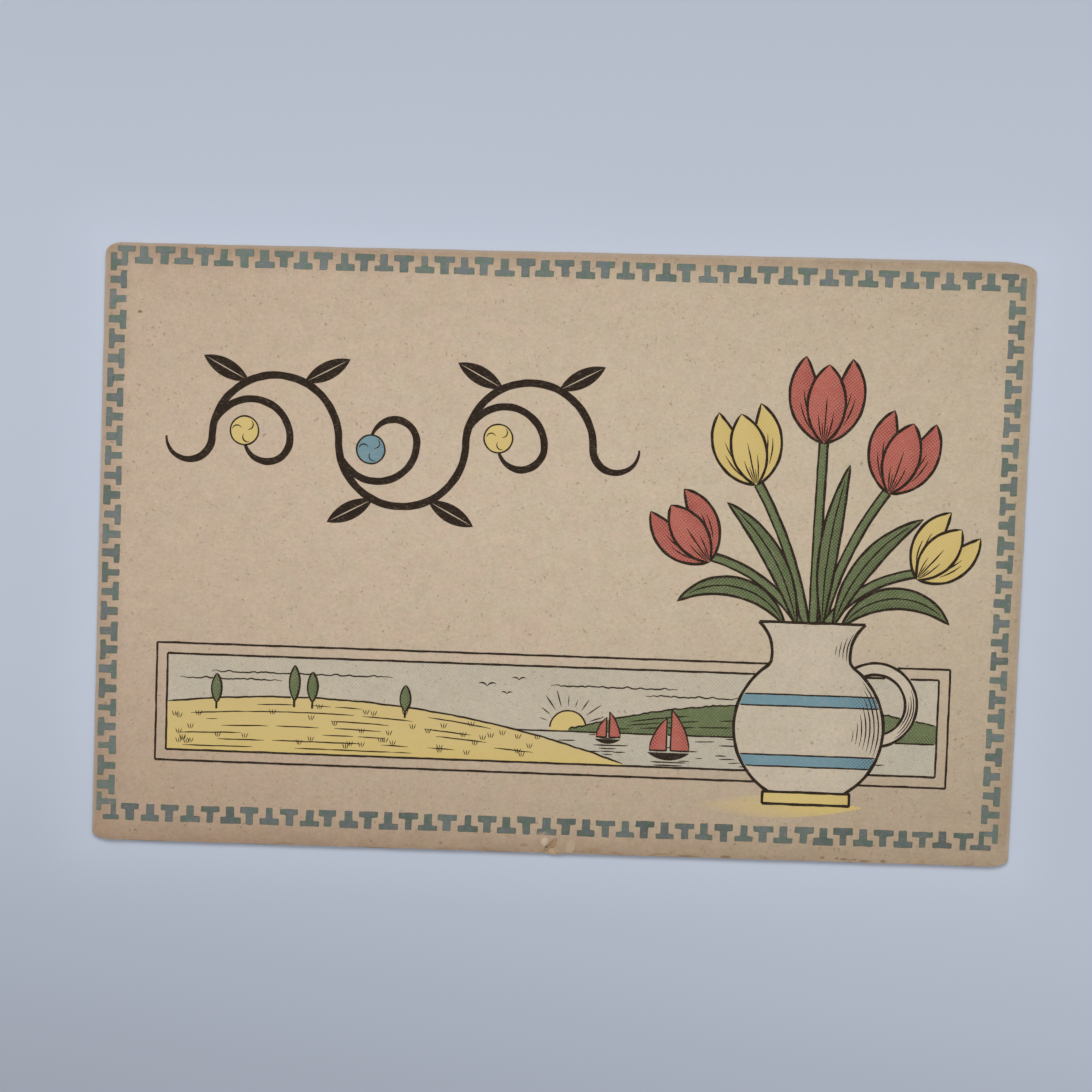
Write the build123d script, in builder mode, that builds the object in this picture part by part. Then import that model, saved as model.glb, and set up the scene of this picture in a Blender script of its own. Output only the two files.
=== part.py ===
from build123d import *

import os

# Picture postcard of pasted board, in millimetres. X runs along the card, Y up the picture and
# Z out of the picture side, with the origin under the middle of the card.

# Card: three plies of paper, cut a little out of square
card_length = 136.5
card_width = 88.9
cut_lean = 0.97  # the top edge stands this far right of the lower one
face_ply = 0.09
core_ply = 0.22
back_ply = 0.09

# Handling wear: rounded corners, and a patch of face paper torn off at the lower edge
wear_top_left = 1.3
wear_top_right = 1.3
wear_bottom_left = 2.2
wear_bottom_right = 1.5
tear_shift = 0.6  # right of the card's middle
tear_width = 3.0
tear_height = 2.3
tear_lean = 0.5  # its peak leans to the left

# Printing: each ink is a thin film, and the whole picture sits a little off the card's middle
ink_film = 0.02
print_shift_x = -0.38
print_shift_y = 0.81
print_skew = -0.43

# Border of T shapes that point outwards and inwards in turn
border_end_margin = 0.97  # from the card's short ends, before the shift
border_side_margin = 1.9  # from its long sides
border_lean = 0.67  # its top row stands this far right of the lower one
border_depth = 2.58
tee_pitch = 2.92
tee_bar_length = 2.92
tee_bar_depth = 1.0
tee_stem_width = 1.1
corner_bar_gap = 0.1  # between the two bars at a corner
corner_room = 0.25  # by which the step next to a corner is longer

# Picture panel: a double rule round a long low landscape
panel_end_gap = 5.95  # from the border
panel_foot_gap = 6.6
panel_height = 17.6
panel_rule = 0.25
panel_rule_step = 1.6  # from the outer rule to the inner one
lake_depth = 4.6
near_hill_radius = 150.0
near_hill_rise = 8.2
near_hill_place = 21.0  # from the panel's left end
far_hill_radius = 110.0
far_hill_rise = 9.4
far_hill_place = 24.0  # from the panel's right end
sun_radius = 2.7
sun_rise = 5.0
sun_place = 61.5  # from the panel's left end

# Outlines of the key printing
key_line = 0.38

# Jug, standing in front of the panel
jug_place = 20.5  # from the panel's right end
jug_drop = 3.2  # below the panel
jug_height = 27.0
jug_foot_radius = 6.4
jug_foot_height = 1.8
jug_waist_radius = 5.6  # just above the foot
jug_belly_radius = 11.0
jug_belly_height = 10.8
jug_neck_radius = 5.9
jug_neck_height = 20.8
jug_lip_radius = 7.8
jug_flare = 0.9
jug_band_height = 1.7
jug_lower_band = 5.6
jug_upper_band = 14.6
handle_radius = 6.4
handle_width = 2.1
handle_height = 15.2
handle_reach = 9.6  # from the jug's axis
shadow_length = 27.0
shadow_depth = 3.4

# Tulips: a bloom of one front petal between two side petals, on a curved stem
bouquet_height = 39.0  # above the jug's mouth
petal_height = 0.92  # of the bloom's height, as are the next four
petal_swell = 0.22
petal_spread = 0.27
petal_outer_swell = 0.29
petal_inner_swell = 0.06
stem_width = 1.25
stem_bow = 0.12  # for each millimetre that the bloom stands aside, as is the next
stem_gather = 0.12

# Boats and trees of the landscape
boat_length = 6.2
boat_freeboard = 0.12  # of the boat's length, as are the next two
boat_draught = 0.18
sail_belly = 0.09
sail_gap = 0.3
poplar_height = 5.4
poplar_swell = 0.75

# Running scroll ornament
scroll_waves = 3
scroll_radius = 9.4
scroll_end_gap = 6.6  # from the border
scroll_top_gap = 25.0
scroll_stroke = 1.1
scroll_turn_radius = 5.8
scroll_curl_radius = 3.4
bud_radius = 2.1
bud_lift = 1.1
scroll_leaf_length = 7.6
scroll_leaf_swell = 1.3
scroll_leaf_angle = 26
scroll_leaf_lean = 62

# Back: a divided back with its stamp frame and address rules
divider_length = 64.0
back_rule = 0.35
back_edge_gap = 6.0
stamp_length = 23.0
stamp_width = 19.0
address_rules = 4
address_length = 54.0
address_step = 9.0
address_foot_gap = 13.0


# Levels up the board
core_level = back_ply
face_level = core_level + core_ply
tint_level = face_level + face_ply
ink_level = tint_level + ink_film


def print_plane(level):
    """The plane that the picture is printed on, at a height above the card's back."""
    return Plane((print_shift_x, print_shift_y, level)).rotated((0, 0, print_skew))


def lens(base, tip, right_swell, left_swell):
    """A petal or leaf between two arcs, which swell outwards or, below 0, inwards."""
    with BuildSketch() as shape:
        with BuildLine():
            SagittaArc(base, tip, -right_swell)
            SagittaArc(tip, base, -left_swell)
        make_face()
    return shape.sketch


def strip(start, end, width, bow):
    """A stem of even width between two points, bowed sideways."""
    along = (Vector(*end) - Vector(*start)).normalized()
    aside = Vector(-along.Y, along.X) * (width / 2)
    near, far = Vector(*start), Vector(*end)
    with BuildSketch() as shape:
        with BuildLine():
            SagittaArc(near + aside, far + aside, bow)
            Line(far + aside, far - aside)
            SagittaArc(far - aside, near - aside, -bow)
            Line(near - aside, near + aside)
        make_face()
    return shape.sketch


def disc(centre, radius):
    """A round shape."""
    with BuildSketch() as shape:
        with Locations(centre):
            Circle(radius)
    return shape.sketch


def block(low, high):
    """An upright rectangle between two corners."""
    with BuildSketch() as shape:
        with Locations(((low[0] + high[0]) / 2, (low[1] + high[1]) / 2)):
            Rectangle(high[0] - low[0], high[1] - low[1])
    return shape.sketch


def placed(shape, place, turn):
    """A shape moved to a place and turned about its own origin, in degrees."""
    with BuildSketch() as moved:
        with Locations(Location((*place, 0), (0, 0, turn))):
            add(shape)
    return moved.sketch


def common(first, second):
    """The part that two shapes share."""
    with BuildSketch() as shared:
        add(first)
        add(second, mode=Mode.INTERSECT)
    return shared.sketch


def ruled_frame(length, width, rule):
    """A plain ruled frame, measured over its outside."""
    with BuildSketch() as shape:
        Rectangle(length, width)
        Rectangle(length - 2 * rule, width - 2 * rule, mode=Mode.SUBTRACT)
    return shape.sketch


# Outline of the card, worn round at the corners
card_corners = [
    (side_x * card_length / 2 + side_y * cut_lean / 2, side_y * card_width / 2)
    for side_x, side_y in ((-1, 1), (1, 1), (1, -1), (-1, -1))
]
corner_wear = (wear_top_left, wear_top_right, wear_bottom_right, wear_bottom_left)
with BuildSketch() as card_outline:
    with BuildLine():
        Polyline(*card_corners, close=True)
    make_face()
    for corner, wear in zip(card_corners, corner_wear):
        fillet(card_outline.vertices().sort_by_distance(corner)[0], radius=wear)

# The torn patch, drawn past the edge that it opens on
with BuildSketch() as tear:
    lower_edge = -card_width / 2
    with BuildLine():
        Polyline(
            (tear_shift - tear_width / 2, lower_edge - tear_height),
            (tear_shift - tear_width / 2, lower_edge),
            (tear_shift - tear_lean, lower_edge + tear_height),
            (tear_shift + tear_width / 2, lower_edge),
            (tear_shift + tear_width / 2, lower_edge - tear_height),
            close=True,
        )
    make_face()

# Back printing, seen from behind with the address side on the right
with BuildSketch() as back_rules:
    half_width = card_width / 2
    address_middle = -(card_length / 4)
    Rectangle(back_rule, divider_length)
    with Locations((
        -(card_length / 2 - back_edge_gap - stamp_width / 2),
        half_width - back_edge_gap - stamp_length / 2,
    )):
        add(ruled_frame(stamp_width, stamp_length, back_rule))
    lowest_rule = -half_width + address_foot_gap
    for line in range(address_rules):
        with Locations((address_middle, lowest_rule + line * address_step)):
            Rectangle(address_length, back_rule)

# Border: places of the T shapes along the long sides and the short ones
border_length = card_length - 2 * border_end_margin
border_width = card_width - 2 * border_side_margin
corner_inset = border_depth - tee_stem_width / 2
field_length = border_length - 2 * border_depth
field_width = border_width - 2 * border_depth


def tee_places(side_length, reach):
    """Places of the T shapes along one side, turned outwards and inwards in turn."""
    run = side_length - 2 * (corner_inset + corner_room)
    steps = 2 * round(run / (2 * tee_pitch))
    return [
        Location((-run / 2 + run / steps * k, reach - border_depth / 2, 0), (0, 0, 180 * (k % 2)))
        for k in range(1, steps)
    ]


def leaned(place):
    """A place on the border, moved aside by its height so that the border leans."""
    return Location((border_lean * place.position.Y / border_width, 0, 0)) * place


with BuildSketch() as tee:
    Rectangle(tee_stem_width, border_depth)
    with Locations((0, (border_depth - tee_bar_depth) / 2)):
        Rectangle(tee_bar_length, tee_bar_depth)

# At a corner the stems of the two last T shapes join at their inner ends
corner_bar_start = tee_bar_depth + corner_bar_gap
corner_bar_end = corner_inset + tee_bar_length / 2
with BuildSketch() as corner_tees:
    add(block((corner_bar_start, -tee_bar_depth), (corner_bar_end, 0)))
    add(block((corner_inset - tee_stem_width / 2, -border_depth), (border_depth, -tee_bar_depth)))
    add(block((0, -corner_bar_end), (tee_bar_depth, -corner_bar_start)))
    add(block((tee_bar_depth, -border_depth), (border_depth, -corner_inset + tee_stem_width / 2)))

with BuildSketch() as border:
    for turn, side_length, reach in (
        (0, border_length, border_width / 2),
        (90, border_width, border_length / 2),
        (180, border_length, border_width / 2),
        (270, border_width, border_length / 2),
    ):
        side = Location((0, 0, 0), (0, 0, turn))
        corner = Location((-side_length / 2, reach, 0))
        with Locations(*[leaned(side * place) for place in tee_places(side_length, reach)]):
            add(tee.sketch)
        with Locations(leaned(side * corner)):
            add(corner_tees.sketch)

# Picture panel
panel_length = field_length - 2 * panel_end_gap
panel_foot = -field_width / 2 + panel_foot_gap
panel_middle = panel_foot + panel_height / 2
window_inset = panel_rule_step + panel_rule
window_foot = panel_foot + window_inset
window = block(
    (-panel_length / 2 + window_inset, window_foot),
    (panel_length / 2 - window_inset, panel_foot + panel_height - window_inset),
)
panel_rules = [
    placed(ruled_frame(panel_length - inset, panel_height - inset, panel_rule), (0, panel_middle), 0)
    for inset in (0, 2 * panel_rule_step)
]

# Jug, drawn from its axis at the foot
jug_axis = panel_length / 2 - jug_place
jug_base = panel_foot - jug_drop
jug_mouth = jug_base + jug_height
with BuildSketch() as jug_shape:
    with BuildLine():
        Polyline(
            (0, jug_height),
            (0, 0),
            (jug_foot_radius, 0),
            (jug_foot_radius, jug_foot_height),
            (jug_waist_radius, jug_foot_height),
        )
        ThreePointArc(
            (jug_waist_radius, jug_foot_height),
            (jug_belly_radius, jug_belly_height),
            (jug_neck_radius, jug_neck_height),
        )
        SagittaArc((jug_neck_radius, jug_neck_height), (jug_lip_radius, jug_height), jug_flare)
        Line((jug_lip_radius, jug_height), (0, jug_height))
    make_face()
    mirror(about=Plane.YZ)
jug = placed(jug_shape.sketch, (jug_axis, jug_base), 0)

with BuildSketch() as handle_ring:
    Circle(handle_radius)
    Circle(handle_radius - handle_width, mode=Mode.SUBTRACT)
handle = placed(handle_ring.sketch, (jug_axis + handle_reach, jug_base + handle_height), 0)


def jug_zone(low, high, inset):
    """The stretch of the jug between two heights above its foot, inside its outline by an inset."""
    reach = jug_belly_radius + jug_lip_radius
    with BuildSketch() as zone:
        add(jug)
        if inset:
            offset(amount=-inset)
        zone_low, zone_high = (jug_axis - reach, jug_base + low), (jug_axis + reach, jug_base + high)
        add(block(zone_low, zone_high), mode=Mode.INTERSECT)
    return zone.sketch


# The picture, nearest shape first: shape, ink, outline and whether the panel's window cuts it
picture = []


def draw(shape, ink, outline=key_line, in_window=False):
    """Put a shape behind everything drawn so far."""
    picture.append((shape, ink, outline, in_window))


def bloom(place, lean, size, ink):
    """A tulip bloom, front petal first."""
    swell = petal_swell * size
    front = lens((0, 0), (0, petal_height * size), swell, swell)
    draw(placed(front, place, lean), ink)
    for side in (-1, 1):
        tip = (side * petal_spread * size, size)
        swells = (petal_outer_swell * size, petal_inner_swell * size)
        draw(placed(lens((0, 0), tip, *swells[::side]), place, lean), ink)


# Jug, its bands and foot
draw(jug_zone(0, jug_foot_height, 0), "yellow")
for band in (jug_lower_band, jug_upper_band):
    draw(jug_zone(band, band + jug_band_height, key_line), "blue", 0)
draw(jug, None)

# Blooms: place from the middle of the jug's mouth, lean in degrees, height and ink. Lengths here
# and in the leaves are shares of the bouquet's height.
tulips = (
    ((-0.397, 0.218), 36, 0.282, "red"),
    ((0.385, 0.179), -40, 0.272, "yellow"),
    ((-0.231, 0.513), 14, 0.297, "yellow"),
    ((0.267, 0.497), -17, 0.303, "red"),
    ((0.015, 0.677), -2, 0.323, "red"),
)
# Leaves: base and tip from the same point, with the swell of the right edge and the left one
leaves = (
    ((-0.103, -0.015), (-0.513, 0.067), 0.138, -0.067),
    ((0.108, -0.015), (0.513, 0.010), -0.067, 0.144),
    ((-0.062, -0.015), (-0.338, 0.446), 0.087, -0.015),
    ((0.077, -0.015), (0.400, 0.405), -0.021, 0.092),
    ((0.036, -0.015), (0.118, 0.600), 0.010, 0.059),
)


def from_mouth(place):
    """A point given from the middle of the jug's mouth, in shares of the bouquet's height."""
    return (jug_axis + place[0] * bouquet_height, jug_mouth + place[1] * bouquet_height)


for place, lean, size, ink in tulips:
    bloom(from_mouth(place), lean, size * bouquet_height, ink)
for base, tip, *swells in leaves:
    right_swell, left_swell = [swell * bouquet_height for swell in swells]
    draw(lens(from_mouth(base), from_mouth(tip), right_swell, left_swell), "green", 0)
for place, lean, size, ink in tulips:
    aside = place[0] * bouquet_height
    foot = (jug_axis + stem_gather * aside, jug_mouth - key_line)
    head = Vector(*from_mouth(place)) + Vector(0, stem_width).rotate(Axis.Z, lean)
    draw(strip(foot, (head.X, head.Y), stem_width, stem_bow * aside), "green", 0)
draw(handle, None)
shadow_end = (jug_axis + jug_foot_radius, jug_base)
shadow_tip = (shadow_end[0] - shadow_length, jug_base)
draw(lens(shadow_end, shadow_tip, shadow_depth / 2, shadow_depth / 2), "yellow", 0)

# Landscape inside the panel's window, from its left end
left_end = -panel_length / 2
right_end = panel_length / 2
lake_level = window_foot + lake_depth


def in_panel(along, rise):
    """A point in the panel, in shares of its length from the left and of its height."""
    return (left_end + along * panel_length, window_foot + rise * panel_height)


# Sails: mast and clew along the boat, and height, in shares of the boat's length
sails = ((0.05, 0.5, 1.0), (-0.05, -0.46, 0.78))


def sail_boat(along, rise, size):
    """A boat with two sails, from the middle of its waterline."""
    x, y = in_panel(along, rise)
    deck = y + boat_freeboard * size
    with BuildSketch() as hull:
        with BuildLine():
            Line((x + size / 2, deck), (x - size / 2, deck))
            SagittaArc((x - size / 2, deck), (x + size / 2, deck), -boat_draught * size)
        make_face()
    draw(hull.sketch, "key", 0, True)
    for mast, clew, height in sails:
        foot = (x + mast * size, deck + sail_gap)
        top = (foot[0], foot[1] + height * size)
        corner = (x + clew * size, foot[1])
        with BuildSketch() as sail:
            with BuildLine():
                Polyline(corner, foot, top)
                SagittaArc(top, corner, sail_belly * size if clew > 0 else -sail_belly * size)
            make_face()
        draw(sail.sketch, "red", 0, True)


# Boats and poplars: place in the panel, and size against the full one
boats = ((0.651, 0.068, 1.0), (0.574, 0.182, 0.61))
poplars = ((0.077, 0.398, 0.81), (0.176, 0.432, 1.0), (0.199, 0.426, 0.85), (0.317, 0.375, 0.74))
for along, rise, size in boats:
    sail_boat(along, rise, size * boat_length)
for along, rise, size in poplars:
    poplar_foot = in_panel(along, rise)
    poplar_tip = (poplar_foot[0], poplar_foot[1] + size * poplar_height)
    draw(lens(poplar_foot, poplar_tip, poplar_swell, poplar_swell), "green", 0, True)
near_crest = (left_end + near_hill_place, window_foot + near_hill_rise - near_hill_radius)
draw(disc(near_crest, near_hill_radius), "yellow", 0, True)
draw(block((left_end, window_foot - lake_depth), (right_end, lake_level)), None, 0, True)
far_crest = (right_end - far_hill_place, window_foot + far_hill_rise - far_hill_radius)
draw(disc(far_crest, far_hill_radius), "green", 0, True)
draw(disc((left_end + sun_place, window_foot + sun_rise), sun_radius), "yellow", 0, True)

# Running scroll: half circles up and down in turn, each with a branch that curls to a bud
scroll_left = -field_length / 2 + scroll_end_gap + 2 * scroll_curl_radius
scroll_strokes = []


def stroke(*arcs):
    """A stroke of the scroll along arcs given by centre, radius and start angle, half a turn each."""
    with BuildSketch() as line:
        with BuildLine() as path:
            for centre, radius, start in arcs:
                CenterArc(centre, radius, start, 180)
        trace(path.line, line_width=scroll_stroke)
    scroll_strokes.append(line.sketch)


scroll_right = scroll_left + 2 * scroll_radius * scroll_waves
scroll_level = field_width / 2 - scroll_top_gap
middles = [scroll_left + scroll_radius * (2 * wave + 1) for wave in range(scroll_waves)]
stroke(
    ((scroll_left - scroll_curl_radius, scroll_level), scroll_curl_radius, 180),
    *(((x, scroll_level), scroll_radius, 180 * (wave % 2)) for wave, x in enumerate(middles)),
    ((scroll_right + scroll_curl_radius, scroll_level), scroll_curl_radius, 180 * (scroll_waves % 2)),
)
for wave, x in enumerate(middles):
    up = 1 - 2 * (wave % 2)
    turn_x = x - scroll_radius + scroll_turn_radius
    curl_x = x - scroll_radius + 2 * scroll_turn_radius - scroll_curl_radius
    stroke(
        ((turn_x, scroll_level), scroll_turn_radius, 90 - 90 * up),
        ((curl_x, scroll_level), scroll_curl_radius, 90 + 90 * up),
    )
    bud = (curl_x - scroll_curl_radius, scroll_level + up * bud_lift)
    draw(disc(bud, bud_radius), ("yellow", "blue")[wave % 2], 0)
    for side in (-1, 1):
        root = Vector(0, scroll_radius).rotate(Axis.Z, -side * scroll_leaf_angle)
        tip = root + Vector(0, scroll_leaf_length).rotate(Axis.Z, -side * scroll_leaf_lean)
        base, point = [(x + v.X, scroll_level + up * v.Y) for v in (root, tip)]
        scroll_strokes.append(lens(base, point, scroll_leaf_swell, scroll_leaf_swell))

# Separations: what each ink prints once the shapes in front have hidden the ones behind
separations = {ink: [] for ink in ("key", "yellow", "red", "green", "blue")}
in_front = []
for shape, ink, outline, in_window in picture:
    with BuildSketch() as fill:
        add(shape)
        if outline:
            offset(amount=-outline)
    with BuildSketch() as rim:
        add(shape)
        add(fill.sketch, mode=Mode.SUBTRACT)
    for printed, layer in ((fill, ink), (rim, "key")):
        if layer is None or not printed.faces():
            continue
        with BuildSketch() as visible:
            add(printed.sketch)
            if in_window:
                add(window, mode=Mode.INTERSECT)
            if in_front:
                add(in_front, mode=Mode.SUBTRACT)
        separations[layer].append(visible.sketch)
    in_front.append(common(shape, window) if in_window else shape)
with BuildSketch() as line_work:
    add(panel_rules + scroll_strokes)
    add(in_front, mode=Mode.SUBTRACT)
separations["key"].append(line_work.sketch)

# Plies
with BuildPart() as back_liner:
    with BuildSketch():
        add(card_outline.sketch)
    extrude(amount=back_ply)
    with BuildSketch():
        add(back_rules.sketch)
    extrude(amount=ink_film, mode=Mode.SUBTRACT)

with BuildPart() as middle_ply:
    with BuildSketch(Plane.XY.offset(core_level)):
        add(card_outline.sketch)
    extrude(amount=core_ply)

with BuildPart() as face_liner:
    with BuildSketch(Plane.XY.offset(face_level)):
        add(card_outline.sketch)
        add(tear.sketch, mode=Mode.SUBTRACT)
    extrude(amount=face_ply)

# Flat tints, which cover the face between them
with BuildPart() as grey_tint:
    with BuildSketch(print_plane(tint_level)):
        add(window)
        add(jug)
    extrude(amount=ink_film)

with BuildPart() as buff_tint:
    with BuildSketch(Plane.XY.offset(tint_level)):
        add(card_outline.sketch)
        add(tear.sketch, mode=Mode.SUBTRACT)
    extrude(amount=ink_film)
    with BuildSketch(print_plane(tint_level)):
        add(window)
        add(jug)
    extrude(amount=ink_film, mode=Mode.SUBTRACT)

# Inks over the tints
with BuildPart() as border_ink:
    with BuildSketch(print_plane(ink_level)):
        add(border.sketch)
    extrude(amount=ink_film)

with BuildPart() as key_ink:
    with BuildSketch(print_plane(ink_level)):
        add(separations["key"])
    extrude(amount=ink_film)

with BuildPart() as yellow_ink:
    with BuildSketch(print_plane(ink_level)):
        add(separations["yellow"])
    extrude(amount=ink_film)

with BuildPart() as red_ink:
    with BuildSketch(print_plane(ink_level)):
        add(separations["red"])
    extrude(amount=ink_film)

with BuildPart() as green_ink:
    with BuildSketch(print_plane(ink_level)):
        add(separations["green"])
    extrude(amount=ink_film)

with BuildPart() as blue_ink:
    with BuildSketch(print_plane(ink_level)):
        add(separations["blue"])
    extrude(amount=ink_film)

# Ink on the back, level with the paper round it
with BuildPart() as back_print:
    with BuildSketch():
        add(back_rules.sketch)
    extrude(amount=ink_film)

os.makedirs("parts", exist_ok=True)
for name, piece in (
    ("face_liner", face_liner),
    ("middle_ply", middle_ply),
    ("back_liner", back_liner),
    ("buff_tint", buff_tint),
    ("grey_tint", grey_tint),
    ("border_ink", border_ink),
    ("key_ink", key_ink),
    ("yellow_ink", yellow_ink),
    ("red_ink", red_ink),
    ("green_ink", green_ink),
    ("blue_ink", blue_ink),
    ("back_print", back_print),
):
    piece.part.label = name
    export_step(piece.part, f"parts/{name}.step")
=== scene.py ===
import math

import bpy
import numpy as np
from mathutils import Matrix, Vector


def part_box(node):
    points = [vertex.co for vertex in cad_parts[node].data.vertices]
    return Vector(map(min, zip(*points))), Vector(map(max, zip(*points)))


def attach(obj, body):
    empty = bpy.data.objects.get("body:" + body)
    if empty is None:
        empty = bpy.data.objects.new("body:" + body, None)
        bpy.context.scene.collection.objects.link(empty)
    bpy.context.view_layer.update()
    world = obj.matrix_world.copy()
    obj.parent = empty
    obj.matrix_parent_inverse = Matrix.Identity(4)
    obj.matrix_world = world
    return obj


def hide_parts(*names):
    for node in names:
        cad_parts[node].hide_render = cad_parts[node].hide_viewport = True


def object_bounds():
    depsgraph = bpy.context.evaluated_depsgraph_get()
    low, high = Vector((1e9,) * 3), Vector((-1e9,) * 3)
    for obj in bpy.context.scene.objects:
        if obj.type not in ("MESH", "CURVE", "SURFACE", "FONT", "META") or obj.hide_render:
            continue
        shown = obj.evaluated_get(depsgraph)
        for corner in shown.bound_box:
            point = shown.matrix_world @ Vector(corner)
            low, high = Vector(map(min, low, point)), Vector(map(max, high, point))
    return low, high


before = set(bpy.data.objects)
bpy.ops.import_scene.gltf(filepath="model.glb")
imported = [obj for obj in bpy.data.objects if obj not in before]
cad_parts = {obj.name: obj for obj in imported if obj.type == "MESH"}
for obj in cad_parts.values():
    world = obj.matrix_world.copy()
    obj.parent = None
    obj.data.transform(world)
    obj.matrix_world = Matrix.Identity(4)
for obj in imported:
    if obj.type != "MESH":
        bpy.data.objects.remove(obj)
cadLow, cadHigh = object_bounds()
print("frame loaded:", len(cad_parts), "CAD nodes")

# Lengths are in millimetres here, in the card's own frame; meshes are written in metres
mm = 0.001
rng = np.random.default_rng(1912)


def level(node, side):  # lowest (0) or highest (1) height of a CAD node, in mm
    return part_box(node)[side].z / mm


card = {
    "width": (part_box("middle_ply")[1].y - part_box("middle_ply")[0].y) / mm,
    "length": 136.5,
    "lean": 0.97,  # the top edge stands this far right of the lower one
    # how far each worn corner reaches along the long and the short edge
    "wear": {"topLeft": (2.4, 1.6), "topRight": (5.0, 1.7), "lowLeft": (3.6, 1.2), "lowRight": (3.4, 1.15)},
}
layerStep = 0.004  # films that overlap lie this far above each other
faceTop = level("face_liner", 1) - layerStep
tintTop = level("buff_tint", 1)
inkLow = level("border_ink", 0)
inkTop = level("border_ink", 1)
lowestFilm = 0.008  # height of the lowest colour film
keyTop = inkTop + 1.5 * layerStep


# Shader maths

class Wire:
    # A socket of a shader tree; arithmetic on it adds Math nodes
    def __init__(self, tree, socket):
        self.tree = tree
        self.socket = socket

    def node(self, kind, settings=None, values=None, out=0):
        made = self.tree.nodes.new(kind)
        for key, value in (settings or {}).items():
            setattr(made, key, value)
        for key, value in (values or {}).items():
            if isinstance(value, Wire):
                self.tree.links.new(value.socket, made.inputs[key])
            else:
                made.inputs[key].default_value = value
        return Wire(self.tree, made.outputs[out])

    def math(self, operation, first, second=0.0, clamp=False):
        settings = {"operation": operation, "use_clamp": clamp}
        return self.node("ShaderNodeMath", settings, {0: first, 1: second})

    def __add__(self, other):
        return self.math("ADD", self, other)

    def __radd__(self, other):
        return self.math("ADD", other, self)

    def __sub__(self, other):
        return self.math("SUBTRACT", self, other)

    def __rsub__(self, other):
        return self.math("SUBTRACT", other, self)

    def __mul__(self, other):
        return self.math("MULTIPLY", self, other)

    def __rmul__(self, other):
        return self.math("MULTIPLY", other, self)

    def __truediv__(self, other):
        return self.math("DIVIDE", self, other)

    def __pow__(self, other):
        return self.math("POWER", self, other)

    def __abs__(self):
        return self.math("ABSOLUTE", self)

    def least(self, other):
        return self.math("MINIMUM", self, other)

    def clamped(self):
        return self.math("ADD", self, 0.0, True)

    def fraction(self):
        return self.math("FRACT", self)

    # 0 below low, 1 above high and a smooth rise between; low may be the larger one
    def rise(self, low, high):
        settings = {"interpolation_type": "SMOOTHSTEP"}
        if isinstance(low, Wire) or isinstance(high, Wire) or low < high:
            return self.node("ShaderNodeMapRange", settings, {0: self, 1: low, 2: high})
        return 1 - self.rise(high, low)

    # self is the factor between two colours
    def mix(self, first, second, way="MIX"):
        settings = {"data_type": "RGBA", "blend_type": way}
        return self.node("ShaderNodeMix", settings, {0: self, 6: first, 7: second}, 2)

    # a colour or vector times a value
    def times(self, value):
        return self.node("ShaderNodeVectorMath", {"operation": "SCALE"}, {0: self, 3: value})

    def split(self):
        parts = self.node("ShaderNodeSeparateXYZ", None, {0: self}).socket.node.outputs
        return [Wire(self.tree, part) for part in parts]

    # soft noise from 0 to 1 whose patches are about size mm wide, as one number or one for each axis
    def noise(self, size, seed, detail=2.0, rough=0.5):
        sizes = size if isinstance(size, tuple) else (size, size, size)
        offset = (seed * 13.7, seed * 7.9, seed * 3.1)
        scale = tuple(1 / one for one in sizes)
        moved = self.node("ShaderNodeMapping", None, {"Vector": self, "Location": offset, "Scale": scale})
        values = {"Vector": moved, "Scale": 1.0, "Detail": detail, "Roughness": rough}
        return self.node("ShaderNodeTexNoise", None, values)

    def attribute(self, name):
        return self.node("ShaderNodeAttribute", {"attribute_name": name}, None, 2)


lightLevel = 0.80  # what a white sheet on the table sends back


# The paint colour that shows as this sRGB colour under the scene's light
def seen(red, green, blue):
    channel = np.array([red, green, blue]) / 255
    linear = np.where(channel > 0.04045, ((channel + 0.055) / 1.055) ** 2.4, channel / 12.92)
    return (*(linear / lightLevel), 1.0)


# A new material, its shader and the place of a point in mm
def newFinish(name, roughness, specular):
    finish = bpy.data.materials.new(name)
    finish.use_nodes = True
    tree = finish.node_tree
    shader = tree.nodes["Principled BSDF"]
    shader.inputs["Roughness"].default_value = roughness
    shader.inputs["Specular IOR Level"].default_value = specular
    place = Wire(tree, tree.nodes.new("ShaderNodeTexCoord").outputs["Object"])
    return finish, shader, place.times(1 / mm)


def feed(shader, socket, wire):
    wire.tree.links.new(wire.socket, shader.inputs[socket])


# Height of the paper's grain into the shader's Normal
def grain(shader, place, height, strength):
    fine = place.noise((0.5, 0.16, 0.16), 21, 3.0)
    coarse = place.noise(1.6, 22, 2.0)
    relief = fine * 0.7 + coarse * 0.3
    values = {"Strength": strength, "Distance": height * mm, "Height": relief}
    feed(shader, "Normal", place.node("ShaderNodeBump", None, values))


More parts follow.
